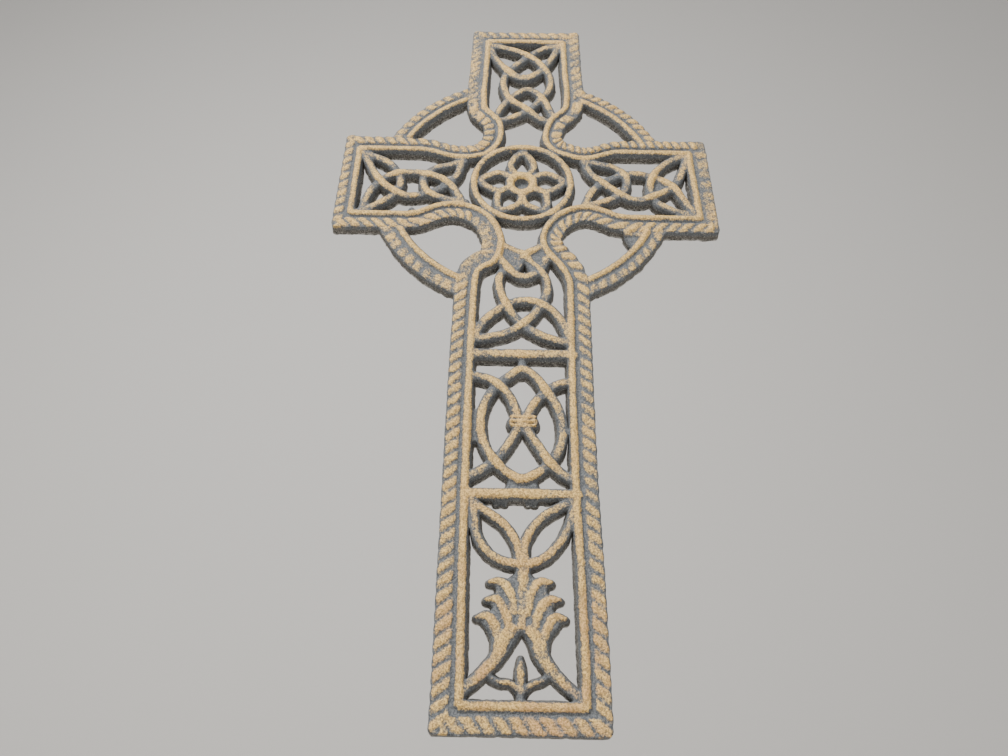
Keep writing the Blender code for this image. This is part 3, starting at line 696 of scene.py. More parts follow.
@dataclass(frozen=True)
class Knots:
    """The interlaced strands of the top arm, the side arms and the upper shaft."""

    widths: ClassVar[dict[str, tuple]] = {
        "top_bowl": (1.0, 1.0, 1.35, 1.0, 1.0),
        "upper_right_oval": (0.85, 0.75, 1.1, 1.0, 1.0),
    }

    def shapes(self) -> list[Bar | Web]:
        """Every strand of the four knots. The third number of a point is the lift: 1 over, -1 under.

        Returns:
            The strands, and the webs that filled two of their corners.
        """
        drawn = {
            "top_bowl": ((-26.5, 142, 0), (-23.6, 129), (-18, 118), (-12, 110, 1), (-5.5, 104.2),
                         (1, 102.8), (7, 106), (14, 114.5, -1), (20, 124.5), (23.5, 133), (26.5, 142)),
            "top_over_left": ((-28, 138.5), (-13, 135.2), (2.5, 127, 1), (14, 114, 0.6), (18.9, 101.5),
                              (17.2, 90), (12, 82, -0.6), (2.8, 69.5, -1), (-6, 63.2), (-17.5, 57.8, 0)),
            "top_over_right": ((28, 139), (14, 135.5), (3, 127, -1), (-12, 110, -1), (-15.2, 99),
                               (-14.2, 90), (-10.8, 81, 0.6), (2.6, 69, 1), (8.6, 62.8), (18, 57, 0)),
            "top_arch": ((-20.5, 60), (-16.4, 71), (-11, 80.4, -0.6), (-3.5, 87.8), (2.2, 90.8),
                         (7.4, 88.2), (12.6, 81.6, 0.6), (17.4, 71), (20.8, 60)),
            "left_bowl": ((-109, 25), (-98, 20.6), (-89.4, 15), (-84, 7.4, -1), (-81.5, 0), (-83.4, -9, -1),
                          (-91, -17.4), (-100, -23.8), (-109, -28)),
            "left_over_down": ((-109, 26), (-104, 15.8), (-96.6, 2.4, 1), (-84.6, -9.2, 1), (-75.6, -12.4),
                               (-63.6, -9.8, -1), (-51.6, -2.4, -1), (-44.8, 5.4), (-42, 17), (-41, 22)),
            "left_over_up": ((-104.5, -26), (-102, -13), (-96.8, -1.6, -1), (-84.4, 6.6, 1), (-74.6, 7.8),
                             (-65.4, 6.6, 1), (-51.8, 0.6, 1), (-43.6, -10), (-39.4, -20)),
            "left_arch": ((-40.5, 18.2), (-50, 15.2), (-60.6, 10.8), (-66, 5, -0.6), (-65.8, -4),
                          (-62.2, -10, 0.6), (-52, -14.6), (-38, -17.6)),
            "right_bowl": ((109, 27), (98, 21.8), (90.6, 15), (85.4, 6.8, 1), (83, -2), (84.6, -11.6, -1),
                           (91.6, -19), (100, -23.2), (110, -26)),
            "right_over_down": ((110.5, 27), (106.2, 14), (98.6, -0.2, -1), (84, -10.4, 1), (73, -13.2),
                                (64.6, -9.6, 0.6), (51.4, 1.6, 1), (43.6, 11), (41, 21)),
            "right_over_up": ((110, -24), (104.4, -12.6), (97.4, -0.6, 1), (87, 7, -0.6), (73, 10),
                              (64.8, 8.4, -0.6), (50.8, 0.6, -1), (43.8, -8), (39.4, -19.5)),
            "right_arch": ((40, 20), (52, 17.8), (62, 14), (67.6, 7, 0.6), (67.2, -3), (62.8, -9, -0.6),
                           (52.6, -14.8), (40, -19.6)),
            "upper_arch": ((-28, -121), (-23.6, -110.6), (-16.2, -102.8, 0), (-9.4, -97.4, -0.7),
                           (1, -94.6), (10.6, -97.2, 0.7), (18, -102.4), (22.8, -109.6), (26.5, -121)),
            "upper_left_oval": ((11.5, -53), (1, -60, 0.5), (-5, -65, -2.6), (-12, -71, -2), (-14.8, -78),
                                (-14.8, -84), (-10, -98, 0.7), (-0.8, -111.2, -0.7), (8, -117.8),
                                (17, -121.8), (28, -125)),
            "upper_right_oval": ((-13, -52.6), (-5.6, -56.4), (1, -60, 0.6), (5, -66), (10.6, -72, 0.7),
                                 (14.8, -84), (10.4, -97.8, -0.7), (0, -111.6, 0.7), (-8.4, -117.2),
                                 (-18, -120.4), (-29, -123)),
            "upper_bowl": ((-15.4, -62), (-10.4, -69.4, 0.7), (-5.4, -75), (0.6, -77.2), (6, -75.2),
                           (10.4, -71, -1), (14.2, -63)),
        }
        plain = (1.0, 1.0)
        strands = [Bar(name, points, widths=self.widths.get(name, plain)) for name, points in drawn.items()]
        chevron = ((-13, -54), (0.6, -59), (12, -54), (14, -63), (12, -68), (6.5, -74), (3.8, -73),
                   (0.8, -65.5), (-3, -74), (-6, -74), (-12, -68), (-15, -62))
        return strands + [
            Web("right_web", ((85, 6), (98, 0), (85, -10)), 5.2),
            Web("chevron_web", chevron, 6.5),
        ]


@dataclass(frozen=True)
class LowerShaft:
    """The two crossbars, the tied loop between them, the leaves and the foot."""

    sizes: Sizes = SIZES
    ridges: tuple = ((-172.9, 0.65), (-175.5, 0.8), (-178.1, 0.6))

    def shapes(self) -> list[Bar | Web]:
        """Every bar and web under the upper knot."""
        return self.bars() + self.loop() + self.leaves() + self.spray() + self.bud()

    def bars(self) -> list[Bar]:
        """The two crossbars, whose crests are nearly as high as the border's bead."""
        s = self.sizes
        top = s.bead_top - 0.2
        return [
            Bar("first_bar", ((-29, s.bar_one), (29, s.bar_one)), 3.2, top),
            Bar("second_bar", ((-29, s.bar_two), (29, s.bar_two)), 2.9, top),
        ]

    def loop(self) -> list[Bar | Web]:
        """The pointed loop, the two strands tied across it, and the clasp with its three ridges.

        Returns:
            The strands, then the webs and the clasp.
        """
        s = self.sizes
        made = [
            Bar("loop", ((-0.4, -142.4), (-7.4, -146.8), (-14.6, -153.2, -1), (-20.2, -162.6),
                         (-22.8, -175), (-21, -188), (-14.6, -199, 1), (-7, -206), (0, -208.8),
                         (7, -206), (13.6, -200.6, -1), (19.6, -192), (21.9, -181), (19.4, -167),
                         (12.4, -155.2, 1), (5, -145.2)), closed=True),
            Bar("tie_left", ((-29, -147), (-21, -148.4), (-14.6, -152, 1), (-7.4, -160), (-2.9, -170.4),
                             (-1, -174.6), (2.2, -180), (8, -189.2), (14, -198.6, 1), (20, -204.8),
                             (28, -210))),
            Bar("tie_right", ((28, -150.2), (20, -151.8), (12.6, -157, -1), (6.2, -164.6), (2.9, -171.2),
                              (0.6, -175), (-3, -180.8), (-8.4, -190.6), (-15.2, -199, -1),
                              (-21.6, -204), (-29, -208.6))),
            Web("clasp_bed", ((-5.6, -172.4), (6.6, -172.5), (6.6, -178.5), (-5.6, -178.5)),
                s.strand_top - 1.6),
            Bar("loop_top_web", ((-0.4, -136), (-0.4, -144)), 2.2, s.strand_top - 0.9),
            Web("loop_foot_web", ((-9, -215), (9, -215), (7.4, -209), (-7, -209)), 5.5),
            Web("loop_side_web", ((-28.4, -167), (-22, -168), (-22.4, -187), (-28.4, -188)), 5.2),
            Bar("clasp_end_left", ((-6.4, -175.2), (-6.6, -176.6)), 1.4, s.strand_top),
            Bar("clasp_end_right", ((7.1, -175.2), (7.3, -176.6)), 1.4, s.strand_top),
        ]
        for i, (y, rise) in enumerate(self.ridges):
            line = ((-6.2, y), (0.5, y - 0.2), (7.0, y))
            made.append(Bar(f"clasp_{i + 1}", line, 1.05, s.strand_top + rise, crown=1.8))
        return made

    def leaves(self) -> list[Bar]:
        """The two open leaves, and the stem under them.

        Returns:
            An outer and an inner edge for each leaf, and the stem.
        """
        drawn = {
            "left_leaf_outer": ((-26, -222), (-24.4, -229), (-23.6, -237), (-19, -246), (-11, -252),
                                (0, -254.2)),
            "left_leaf_inner": ((-26.4, -221.6), (-19, -226.6), (-10, -233), (-4, -241), (-0.4, -252)),
            "right_leaf_outer": ((0.6, -254.4), (9, -252), (18, -244.4), (24, -234), (26.4, -226)),
            "right_leaf_inner": ((0.8, -252), (2.6, -241), (8.6, -231.6), (16, -226), (26, -220.8)),
        }
        top = self.sizes.strand_top
        stem = Bar("stem", ((0.6, -253), (0.6, -266), (0, -284)), 3.4, top - 0.3, widths=(1, 1, 0.8))
        return [stem] + [Bar(name, points, 2.5, top - 0.1) for name, points in drawn.items()]

    def spray(self) -> list[Bar | Web]:
        """The leaf spray: three curled lobes to a side on a web, and two legs to the corners.

        Returns:
            The web, the lobes and the legs.
        """
        drawn = {
            "left_lobe_1": ((-15.6, -262.9), (-10.5, -262.8), (-6.2, -267), (-3.4, -277)),
            "left_lobe_2": ((-17, -271.6), (-12.2, -271.4), (-8.4, -276), (-5.4, -286)),
            "left_lobe_3": ((-21.6, -280), (-16.8, -279.2), (-12.6, -284), (-10.6, -293)),
            "right_lobe_1": ((14.6, -262.8), (8.8, -262.8), (5, -267.6), (2.8, -278)),
            "right_lobe_2": ((18.8, -271.2), (13, -271.4), (8.8, -276.6), (6, -287)),
            "right_lobe_3": ((21.2, -280.2), (16, -279.6), (12, -285), (10, -293.4)),
        }
        legs = {
            "left_leg": ((-4.4, -285.6), (-8.6, -290), (-11, -297), (-17, -303.8), (-28, -314)),
            "right_leg": ((4.4, -285.6), (7.8, -290), (9.6, -297), (15, -304.4), (27.6, -316)),
        }
        web = ((0.6, -256), (6, -260.6), (13.6, -262.6), (12.4, -266.4), (13, -269.6), (17.6, -271.6),
               (15, -275.4), (16, -278.4), (20, -280.6), (17, -285.4), (12.6, -290), (11.4, -296),
               (7, -297), (0.3, -286), (-6.6, -297), (-12.8, -297), (-13, -291), (-16, -286),
               (-20, -281), (-15.4, -278.6), (-14, -275.4), (-15.8, -271.8), (-12.6, -269.6),
               (-12, -266.6), (-14.6, -263), (-6, -261))
        top = self.sizes.strand_top
        lobe, leg = (0.45, 0.95, 1, 0.85), (1.05, 1.4, 1.1, 0.95, 0.95)
        made = [Web("spray_web", web, 6.35)]
        for name, points in drawn.items():
            made.append(Bar(name, points, 3.1, top - 0.1, widths=lobe, crown=1.7))
        for name, points in legs.items():
            made.append(Bar(name, points, 2.75, top - 0.1, widths=leg, crown=1.0))
        return made

    def bud(self) -> list[Bar]:
        """The almond between the legs, and the small arms and stem that carry it.

        Returns:
            The small stem, the bud and the two arms.
        """
        low = self.sizes.strand_top - 1.1
        return [
            Bar("small_stem", ((0, -312), (0, -320)), 1.7, low),
            Bar("bud", ((-0.2, -297.8), (-0.2, -302), (-0.2, -307), (-0.1, -313)), 2.3, low + 0.1,
                widths=(0.35, 0.95, 1, 0.6)),
            Bar("left_small_arm", ((-15.4, -306), (-11, -308.6), (-5, -309.4), (0, -313.4)), 1.45, low),
            Bar("right_small_arm", ((13.6, -305), (9.6, -308), (5, -309.6), (0, -313.6)), 1.45, low),
        ]


@dataclass(frozen=True)
class Flaws:
    """What the casting left: a fin in a window, and blobs of metal under the strands."""

    def shapes(self) -> list[Bar | Web]:
        """Each flaw as a low web or bar."""
        return [
            Web("window_fin", ((62, -36), (72, -36), (79, -42), (70, -53), (67.2, -50), (64.6, -45)), 5.6),
            Bar("left_blob", ((-73, -21.6), (-71.6, -23.4)), 2.0, 4.0),
            Web("left_chip", ((-15.5, -218), (-7.5, -218), (-8.5, -222.6), (-11, -221.8), (-14.6, -223)),
                1.4),
            Web("right_chip", ((1.5, -218), (8.5, -218), (7.4, -222.8), (4.6, -222), (2.6, -222.6)), 1.4),
        ]


@dataclass
class Face:
    """The casting's face on a square grid, with a point for each cell that touches the metal.

    x and y are the grid's axes, inside and height the fields on its nodes, and solid says which
    nodes are metal. number gives each cell's point, or -1, flat the points' places, rim the
    points on an outline, and over the relief at the points.
    """

    x: np.ndarray
    y: np.ndarray
    inside: np.ndarray
    height: np.ndarray
    solid: np.ndarray
    number: np.ndarray
    flat: np.ndarray
    rim: np.ndarray
    over: Relief


@dataclass(frozen=True)
class Casting:
    """The whole relief with the roughness of sand casting, and the mesh made from it.

    pitch is the grid's, and low and high are its corners. outline_grain roughens the outline, skin
    the face and ragged the walls' feet. A wall leans by its draft, and where other metal is near
    by gap_share of the gap at most. The mid_ values are shares of the draft, the ragged edge and
    the room that a wall has half way down. rubbed_reach and rubbed_depth say over what distance
    and height a crest counts as proud. Metal lower than chip_top is a pale chip.
    """

    pitch: float = 0.80
    low: tuple = (-127.0, -335.0)
    high: tuple = (127.0, 157.0)
    parts: tuple = (Ring(), Borders(), Crossing(), Knots(), LowerShaft(), Flaws())
    outline_grain: tuple = (Grain(0.16, 2.6, 3), Grain(0.12, 1.3, 4))
    skin: tuple = (Grain(0.16, 1.15, 5), Grain(0.18, 4.5, 6))
    ragged: tuple = (Grain(0.25, 1.7, 7), Grain(0.2, 5.0, 8))
    sunk: float = 0.1
    thinnest: float = 1.2
    probe: float = 2.0
    gap_share: float = 0.42
    widest_draft: float = 1.4
    least_slope: float = 0.25
    half_way: float = 0.45
    mid_draft: float = 0.4
    mid_ragged: float = 0.3
    mid_room: float = 0.6
    foot_ragged: float = 1.3
    rubbed_reach: float = 4.0
    rubbed_depth: float = 1.5
    wall_rub: float = 0.25
    chip_top: float = 2.3
    chip_fade: float = 0.6

    def relief(self, points: np.ndarray, told: bool = False) -> Relief:
        """Works out the relief over some points.

        Args:
            points: Places in the design, one row each.
            told: Whether each shape is named in the log.

        Returns:
            The relief, with its roughness.
        """
        made = Relief(points)
        for part in self.parts:
            for shape in part.shapes():
                shape.draw(made)
                if told:
                    log.info("%s: %s", type(part).__name__, shape.name)
        made.inside += sum(grain.at(points) for grain in self.outline_grain)
        made.height += sum(grain.at(points) for grain in self.skin) - self.sunk
        made.height = np.clip(made.height, self.thinnest, SIZES.bead_top)
        return made

    def face(self) -> Face:
        """Works out the fields on the grid's nodes, then a point for each cell.

        Returns:
            The face, ready to be joined to walls and a back.
        """
        x = np.arange(self.low[0], self.high[0], self.pitch)
        y = np.arange(self.low[1], self.high[1], self.pitch)
        nodes = np.stack(np.meshgrid(x, y, indexing="ij"), axis=-1)
        found = self.relief(nodes.reshape(-1, 2), told=True)
        inside = found.inside.reshape(len(x), len(y))
        inside = unpinched(np.where(np.abs(inside) < LEAST, LEAST, inside))
        solid = inside > 0
        used, edge = cell_kinds(solid)
        number = np.full(used.shape, -1)
        number[used] = np.arange(used.sum())
        flat = cell_points(nodes, inside)[used]
        rim = np.flatnonzero(edge[used])
        height = found.height.reshape(inside.shape)
        return Face(x, y, inside, height, solid, number, flat, rim, self.relief(flat))

    def build(self, box: list) -> bpy.types.Object:
        """Makes the casting's object, upright in the frame, with what its material reads.

        Args:
            box: Low and high corner of the box that the casting keeps to, in metres.

        Returns:
            The object, one closed mesh.
        """
        face = self.face()
        points = np.clip(self.points(face), *box)
        obj = mesh_object("casting", points, self.quads(face))
        count, foot = len(face.flat), len(face.flat) + len(face.rim)
        rubbed = self.rubbed(face)
        levels = np.concatenate([rubbed, rubbed[face.rim] * self.wall_rub, np.zeros(count)])
        wall, flash = np.zeros(len(points)), np.zeros(len(points))
        wall[count:foot] = 1
        wall[foot + face.rim] = 1
        flash[foot + face.rim] = 1
        flash[:count] = np.clip((self.chip_top - face.over.height) / self.chip_fade, 0, 1)
        for name, values in (("rubbed", levels), ("wall", wall), ("flash", flash)):
            set_attribute(obj.data, name, values)
        return obj

    def points(self, face: Face) -> np.ndarray:
        """The mesh's points: the face, one row half way down the walls, and the flat back.

        A wall leans out along the outline's normal by its draft and a ragged edge, and by less
        where the next metal is near.

        Args:
            face: The casting's face.

        Returns:
            One row for each point, in the frame's axes and metres.
        """
        flat, rim, height = face.flat, face.rim, face.over.height
        slope = np.stack(np.gradient(face.inside, self.pitch), axis=-1)
        out = -sample(slope, face.x, face.y, flat[rim])
        out /= np.maximum(np.linalg.norm(out, axis=1), self.least_slope)[:, None]
        ragged = sum(grain.at(flat[rim]) for grain in self.ragged)
        draft = np.where(face.over.outer[rim] > 0, SIZES.outer_draft, SIZES.window_draft)
        beyond = flat[rim] + self.probe * out
        gap = self.probe - sample(face.inside[..., None], face.x, face.y, beyond)[:, 0]
        room = np.clip(self.gap_share * gap, LEAST, self.widest_draft)
        lean = np.minimum(self.mid_draft * draft + self.mid_ragged * ragged, self.mid_room * room)
        middle = flat[rim] + out * lean[:, None]
        back = flat.copy()
        back[rim] = flat[rim] + out * np.clip(draft + self.foot_ragged * ragged, LEAST, room)[:, None]
        rows = [
            np.column_stack([flat, height]),
            np.column_stack([middle, height[rim] * self.half_way]),
            np.column_stack([back, np.zeros(len(flat))]),
        ]
        points = np.concatenate(rows)
        return np.column_stack([points[:, 0], -points[:, 2], points[:, 1] - SIZES.hang]) * MM

    def quads(self, face: Face) -> np.ndarray:
        """The mesh's quads: one round each solid node, the same turned over behind, and the walls.

        Args:
            face: The casting's face.

        Returns:
            Four point numbers for each quad, in order seen from outside.
        """
        number, count, rim = face.number, len(face.flat), face.rim
        down = np.full(count, -1)
        down[rim] = count + np.arange(len(rim))
        bottom = count + len(rim)
        i, j = np.nonzero(face.solid)
        around = np.stack([number[i - 1, j - 1], number[i, j - 1], number[i, j], number[i - 1, j]], axis=1)
        made = [around, around[:, ::-1] + bottom]
        for di, dj, a, b in ((1, 0, 1, 2), (0, 1, 2, 3), (-1, 0, 3, 0), (0, -1, 0, 1)):
            bare = ~face.solid[i + di, j + dj]
            first, last = around[bare, a], around[bare, b]
            made.append(np.stack([last, first, down[first], down[last]], axis=1))
            made.append(np.stack([down[last], down[first], first + bottom, last + bottom], axis=1))
        return np.concatenate(made)

    def rubbed(self, face: Face) -> np.ndarray:
        """How much each face point stands over the mean height of the metal around it.

        Args:
            face: The casting's face.

        Returns:
            A share for each point, from 0 in a recess to 1 on a crest.
        """
        reach = round(self.rubbed_reach / self.pitch)
        total, share = blurred(face.height * face.solid, reach), blurred(face.solid.astype(float), reach)
        mean = total / np.maximum(share, 1e-3)
        around = sample(mean[..., None], face.x, face.y, face.flat)[:, 0]
        return np.clip(0.5 + (face.over.height - around) / self.rubbed_depth, 0, 1)


def unpinched(inside: np.ndarray, filled: float = 0.05, rounds: int = 12) -> np.ndarray:
    """Fills in where two solid nodes meet only across a corner, so the rim never crosses itself.

    Args:
        inside: How far inside the outline each node is.
        filled: What a filled node gets.
        rounds: How often the grid is gone over at most.

    Returns:
        The same field with those nodes filled.
    """
    inside = inside.copy()
    for _ in range(rounds):
        s = inside > 0
        a, b, c, d = s[:-1, :-1], s[1:, :-1], s[1:, 1:], s[:-1, 1:]
        rising, falling = a & c & ~b & ~d, b & d & ~a & ~c
        if not (rising.any() or falling.any()):
            break
        inside[1:, :-1][rising] = filled
        inside[:-1, :-1][falling] = filled
    return inside


def cell_kinds(solid: np.ndarray) -> tuple[np.ndarray, np.ndarray]:
    """Which cells of the grid touch a solid node, and which of those are on the rim."""
    corners = np.stack([solid[:-1, :-1], solid[1:, :-1], solid[1:, 1:], solid[:-1, 1:]])
    return corners.any(axis=0), corners.any(axis=0) & ~corners.all(axis=0)


def cell_points(nodes: np.ndarray, inside: np.ndarray) -> np.ndarray:
    """A point for each cell: its middle, or on the rim the mean of where the outline crosses it.

    Args:
        nodes: Places of the grid's nodes.
        inside: How far inside the outline each node is.

    Returns:
        One place for each cell.
    """
    places = (nodes[:-1, :-1], nodes[1:, :-1], nodes[1:, 1:], nodes[:-1, 1:])
    values = (inside[:-1, :-1], inside[1:, :-1], inside[1:, 1:], inside[:-1, 1:])
    total, count = np.zeros_like(places[0]), np.zeros(values[0].shape)
    for k in range(4):
        p, q, a, b = places[k], places[(k + 1) % 4], values[k], values[(k + 1) % 4]
        crossed = (a > 0) != (b > 0)
        share = np.where(crossed, a / np.where(crossed, a - b, 1), 0)
        total += np.where(crossed[..., None], p + share[..., None] * (q - p), 0)
        count += crossed
    middle = (places[0] + places[2]) / 2
    return np.where((count > 0)[..., None], total / np.maximum(count, 1)[..., None], middle)


def sample(table: np.ndarray, x: np.ndarray, y: np.ndarray, points: np.ndarray) -> np.ndarray:
    """Values of a table between its nodes: the mean of the four around, by nearness.

    Args:
        table: Values on a grid, with one or more numbers for each node.
        x: The grid's first axis.
        y: The grid's second axis.
        points: Places to read at, one row each.

    Returns:
        One row of numbers for each place.
    """
    at = (points - (x[0], y[0])) / (x[1] - x[0])
    cell = np.clip(np.floor(at).astype(int), 0, np.array(table.shape[:2]) - 2)
    rest = at - cell
    i, j = cell.T
    u, v = rest[:, :1], rest[:, 1:]
    low = table[i, j] * (1 - u) + table[i + 1, j] * u
    high = table[i, j + 1] * (1 - u) + table[i + 1, j + 1] * u
    return low * (1 - v) + high * v


def blurred(table: np.ndarray, reach: int) -> np.ndarray:
    """Mean over a square round each node, taken twice for a soft edge.

    Args:
        table: Values on a grid.
        reach: How many nodes the square goes to each side.

    Returns:
        The means, on the same grid.
    """
    size = 2 * reach + 1
    for axis in (0, 1, 0, 1):
        padding = [(reach + 1, reach) if k == axis else (0, 0) for k in (0, 1)]
        sums = np.cumsum(np.pad(table, padding), axis=axis)
        stop = np.take(sums, range(size, sums.shape[axis]), axis=axis)
        table = (stop - np.take(sums, range(sums.shape[axis] - size), axis=axis)) / size
    return table


def mesh_object(name: str, points: np.ndarray, faces: np.ndarray) -> bpy.types.Object:
    """An object with a mesh of quads, shaded smooth.

    Args:
        name: The object's name.
        points: The mesh's points, one row each.
        faces: Four point numbers for each quad.

    Returns:
        The object, in the scene.
    """
    mesh = bpy.data.meshes.new(name)
    mesh.vertices.add(len(points))
    mesh.vertices.foreach_set("co", points.ravel())
    mesh.loops.add(faces.size)
    mesh.loops.foreach_set("vertex_index", faces.ravel())
    mesh.polygons.add(len(faces))
    mesh.polygons.foreach_set("loop_start", np.arange(0, faces.size, 4))
    mesh.update(calc_edges=True)
    mesh.polygons.foreach_set("use_smooth", np.ones(len(faces), bool))
    obj = bpy.data.objects.new(name, mesh)
    bpy.context.scene.collection.objects.link(obj)
    return obj


def set_attribute(mesh: bpy.types.Mesh, name: str, values: np.ndarray) -> None:
    """Gives every vertex of a mesh a number that its material reads."""
    mesh.attributes.new(name, "FLOAT", "POINT").data.foreach_set("value", np.asarray(values, np.float32))


def thin_back(obj: bpy.types.Object, share: float, nearly: float = 1e-7, hold: float = 1000) -> None:
    """Leaves fewer facets on the flat back, where only the rim's points matter.

    Args:
        obj: The casting.
        share: Share of the mesh's triangles that stay.
        nearly: How far from the back's plane a point of it may be.
        hold: How much more readily the back's points go than all others.
    """
    mesh = obj.data
    place = np.empty(len(mesh.vertices) * 3)
    mesh.vertices.foreach_get("co", place)
    wall = np.empty(len(mesh.vertices), np.float32)
    mesh.attributes["wall"].data.foreach_get("value", wall)
    flat = np.flatnonzero((np.abs(place.reshape(-1, 3)[:, 1]) < nearly) & (wall == 0))
    group = obj.vertex_groups.new(name="flat_back")
    group.add(flat.tolist(), 1.0, "REPLACE")
    thin = obj.modifiers.new("thin_back", "DECIMATE")
    thin.ratio = share
    thin.vertex_group = group.name
    thin.vertex_group_factor = hold


@dataclass(frozen=True)
class IronFinish:
    """Colours and surface of the patinated casting.

    The noises are scale, detail and roughness. A pair is where a change starts and where it is
    full. patches weighs fine, middling and broad noise, and patch_shift brings their mean to 0.
    """

    recess: tuple = (0.165, 0.175, 0.18)
    recess_dark: tuple = (0.075, 0.08, 0.085)
    crest: tuple = (0.86, 0.575, 0.19)
    crest_dark: tuple = (0.40, 0.25, 0.085)
    pink: tuple = (0.66, 0.36, 0.17)
    wall: tuple = (0.19, 0.17, 0.14)
    wall_dark: tuple = (0.05, 0.045, 0.037)
    flash: tuple = (0.62, 0.60, 0.56)
    metallic: tuple = (0.10, 0.30)
    roughness: tuple = (0.66, 0.50)
    fine: tuple = (1050, 2, 0.8)
    middling: tuple = (420, 3, 0.65)
    broad: tuple = (45, 2, 0.5)
    speckle: tuple = (0.40, 0.60)
    patches: tuple = (0.9, 1.1, 0.7)
    patch_shift: float = -1.38
    worn: tuple = (0.22, 0.78)
    pink_patch: tuple = (0.46, 0.68)
    pink_most: float = 0.75
    foot: tuple = (-0.36, -0.47)
    pink_above: float = 0.25
    on_wall: tuple = (0.35, 0.95)
    wall_share: float = 0.9
    at_edge: tuple = (0.25, 1.0)
    edge_patch: tuple = (0.42, 0.60)
    speck_on_wall: tuple = (0.3, 0.9)
    speck: tuple = (0.60, 0.68)
    speck_most: float = 0.7
    bump_depth: float = 0.0008
    bump_middling: float = 0.6


class Shader:
    """A node material being put together on object coordinates."""

    def __init__(self, name: str) -> None:
        """Starts the material and its coordinates."""
        self.material = bpy.data.materials.new(name)
        self.material.use_nodes = True
        self.tree = self.material.node_tree
        self.shader = self.tree.nodes["Principled BSDF"]
        self.place = self.tree.nodes.new("ShaderNodeTexCoord").outputs["Object"]
        split = self.tree.nodes.new("ShaderNodeSeparateXYZ")
        self.link(self.place, split.inputs[0])
        self.upward = split.outputs["Z"]

    def add(self, kind: str, **settings: str) -> bpy.types.Node:
        """A new node with some of its settings.

        Args:
            kind: The node's type.
            settings: Its settings by name.

        Returns:
            The node.
        """
        node = self.tree.nodes.new(kind)
        for key, value in settings.items():
            setattr(node, key, value)
        return node

    def link(self, source: Source, target: Socket) -> None:
        """Feeds one socket, or a constant, into another.

        Args:
            source: An output socket, or the constant itself.
            target: The input socket.
        """
        if isinstance(source, Socket):
            self.tree.links.new(source, target)
        else:
            target.default_value = source

    def noise(self, scale: float, detail: float, rough: float) -> Socket:
        """Noise from 0 to 1 whose features are 1/scale metres across.

        Args:
            scale: Features to the metre.
            detail: How many finer layers are added.
            rough: How strong each finer layer is.

        Returns:
            The noise.
        """
        node = self.add("ShaderNodeTexNoise")
        inputs = (("Vector", self.place), ("Scale", scale), ("Detail", detail), ("Roughness", rough))
        for name, value in inputs:
            self.link(value, node.inputs[name])
        return node.outputs["Fac"]

    def math(self, operation: str, *values: Source) -> Socket:
        """One sum on its inputs.

        Args:
            operation: Which sum.
            values: What it is worked out from, in order.

        Returns:
            The result.
        """
        node = self.add("ShaderNodeMath", operation=operation)
        for value, target in zip(values, node.inputs):
            self.link(value, target)
        return node.outputs[0]

    def ramp(self, value: Source, start: float, stop: float, low: float = 0.0, high: float = 1.0) -> Socket:
        """The value's place between start and stop, eased at both ends, from low to high.

        Args:
            value: What is placed.
            start: Where the ramp is low.
            stop: Where it is high.
            low: Its result up to the start.
            high: Its result from the stop on.

        Returns:
            The result.
        """
        node = self.add("ShaderNodeMapRange", interpolation_type="SMOOTHSTEP")
        for source, target in zip((value, start, stop, low, high), node.inputs):
            self.link(source, target)
        return node.outputs[0]

    def mix(self, share: Source, first: Source, second: Source) -> Socket:
        """A colour between two others.

        Args:
            share: How much of the second colour it has.
            first: The first colour.
            second: The second colour.

        Returns:
            The colour.
        """
        node = self.add("ShaderNodeMix", data_type="RGBA")
        self.link(share, node.inputs[0])
        for source, target in ((first, node.inputs[6]), (second, node.inputs[7])):
            self.link((*source, 1.0) if isinstance(source, tuple) else source, target)
        return node.outputs[2]

    def attribute(self, name: str) -> Socket:
        """A number that each vertex carries."""
        return self.add("ShaderNodeAttribute", attribute_name=name).outputs["Fac"]


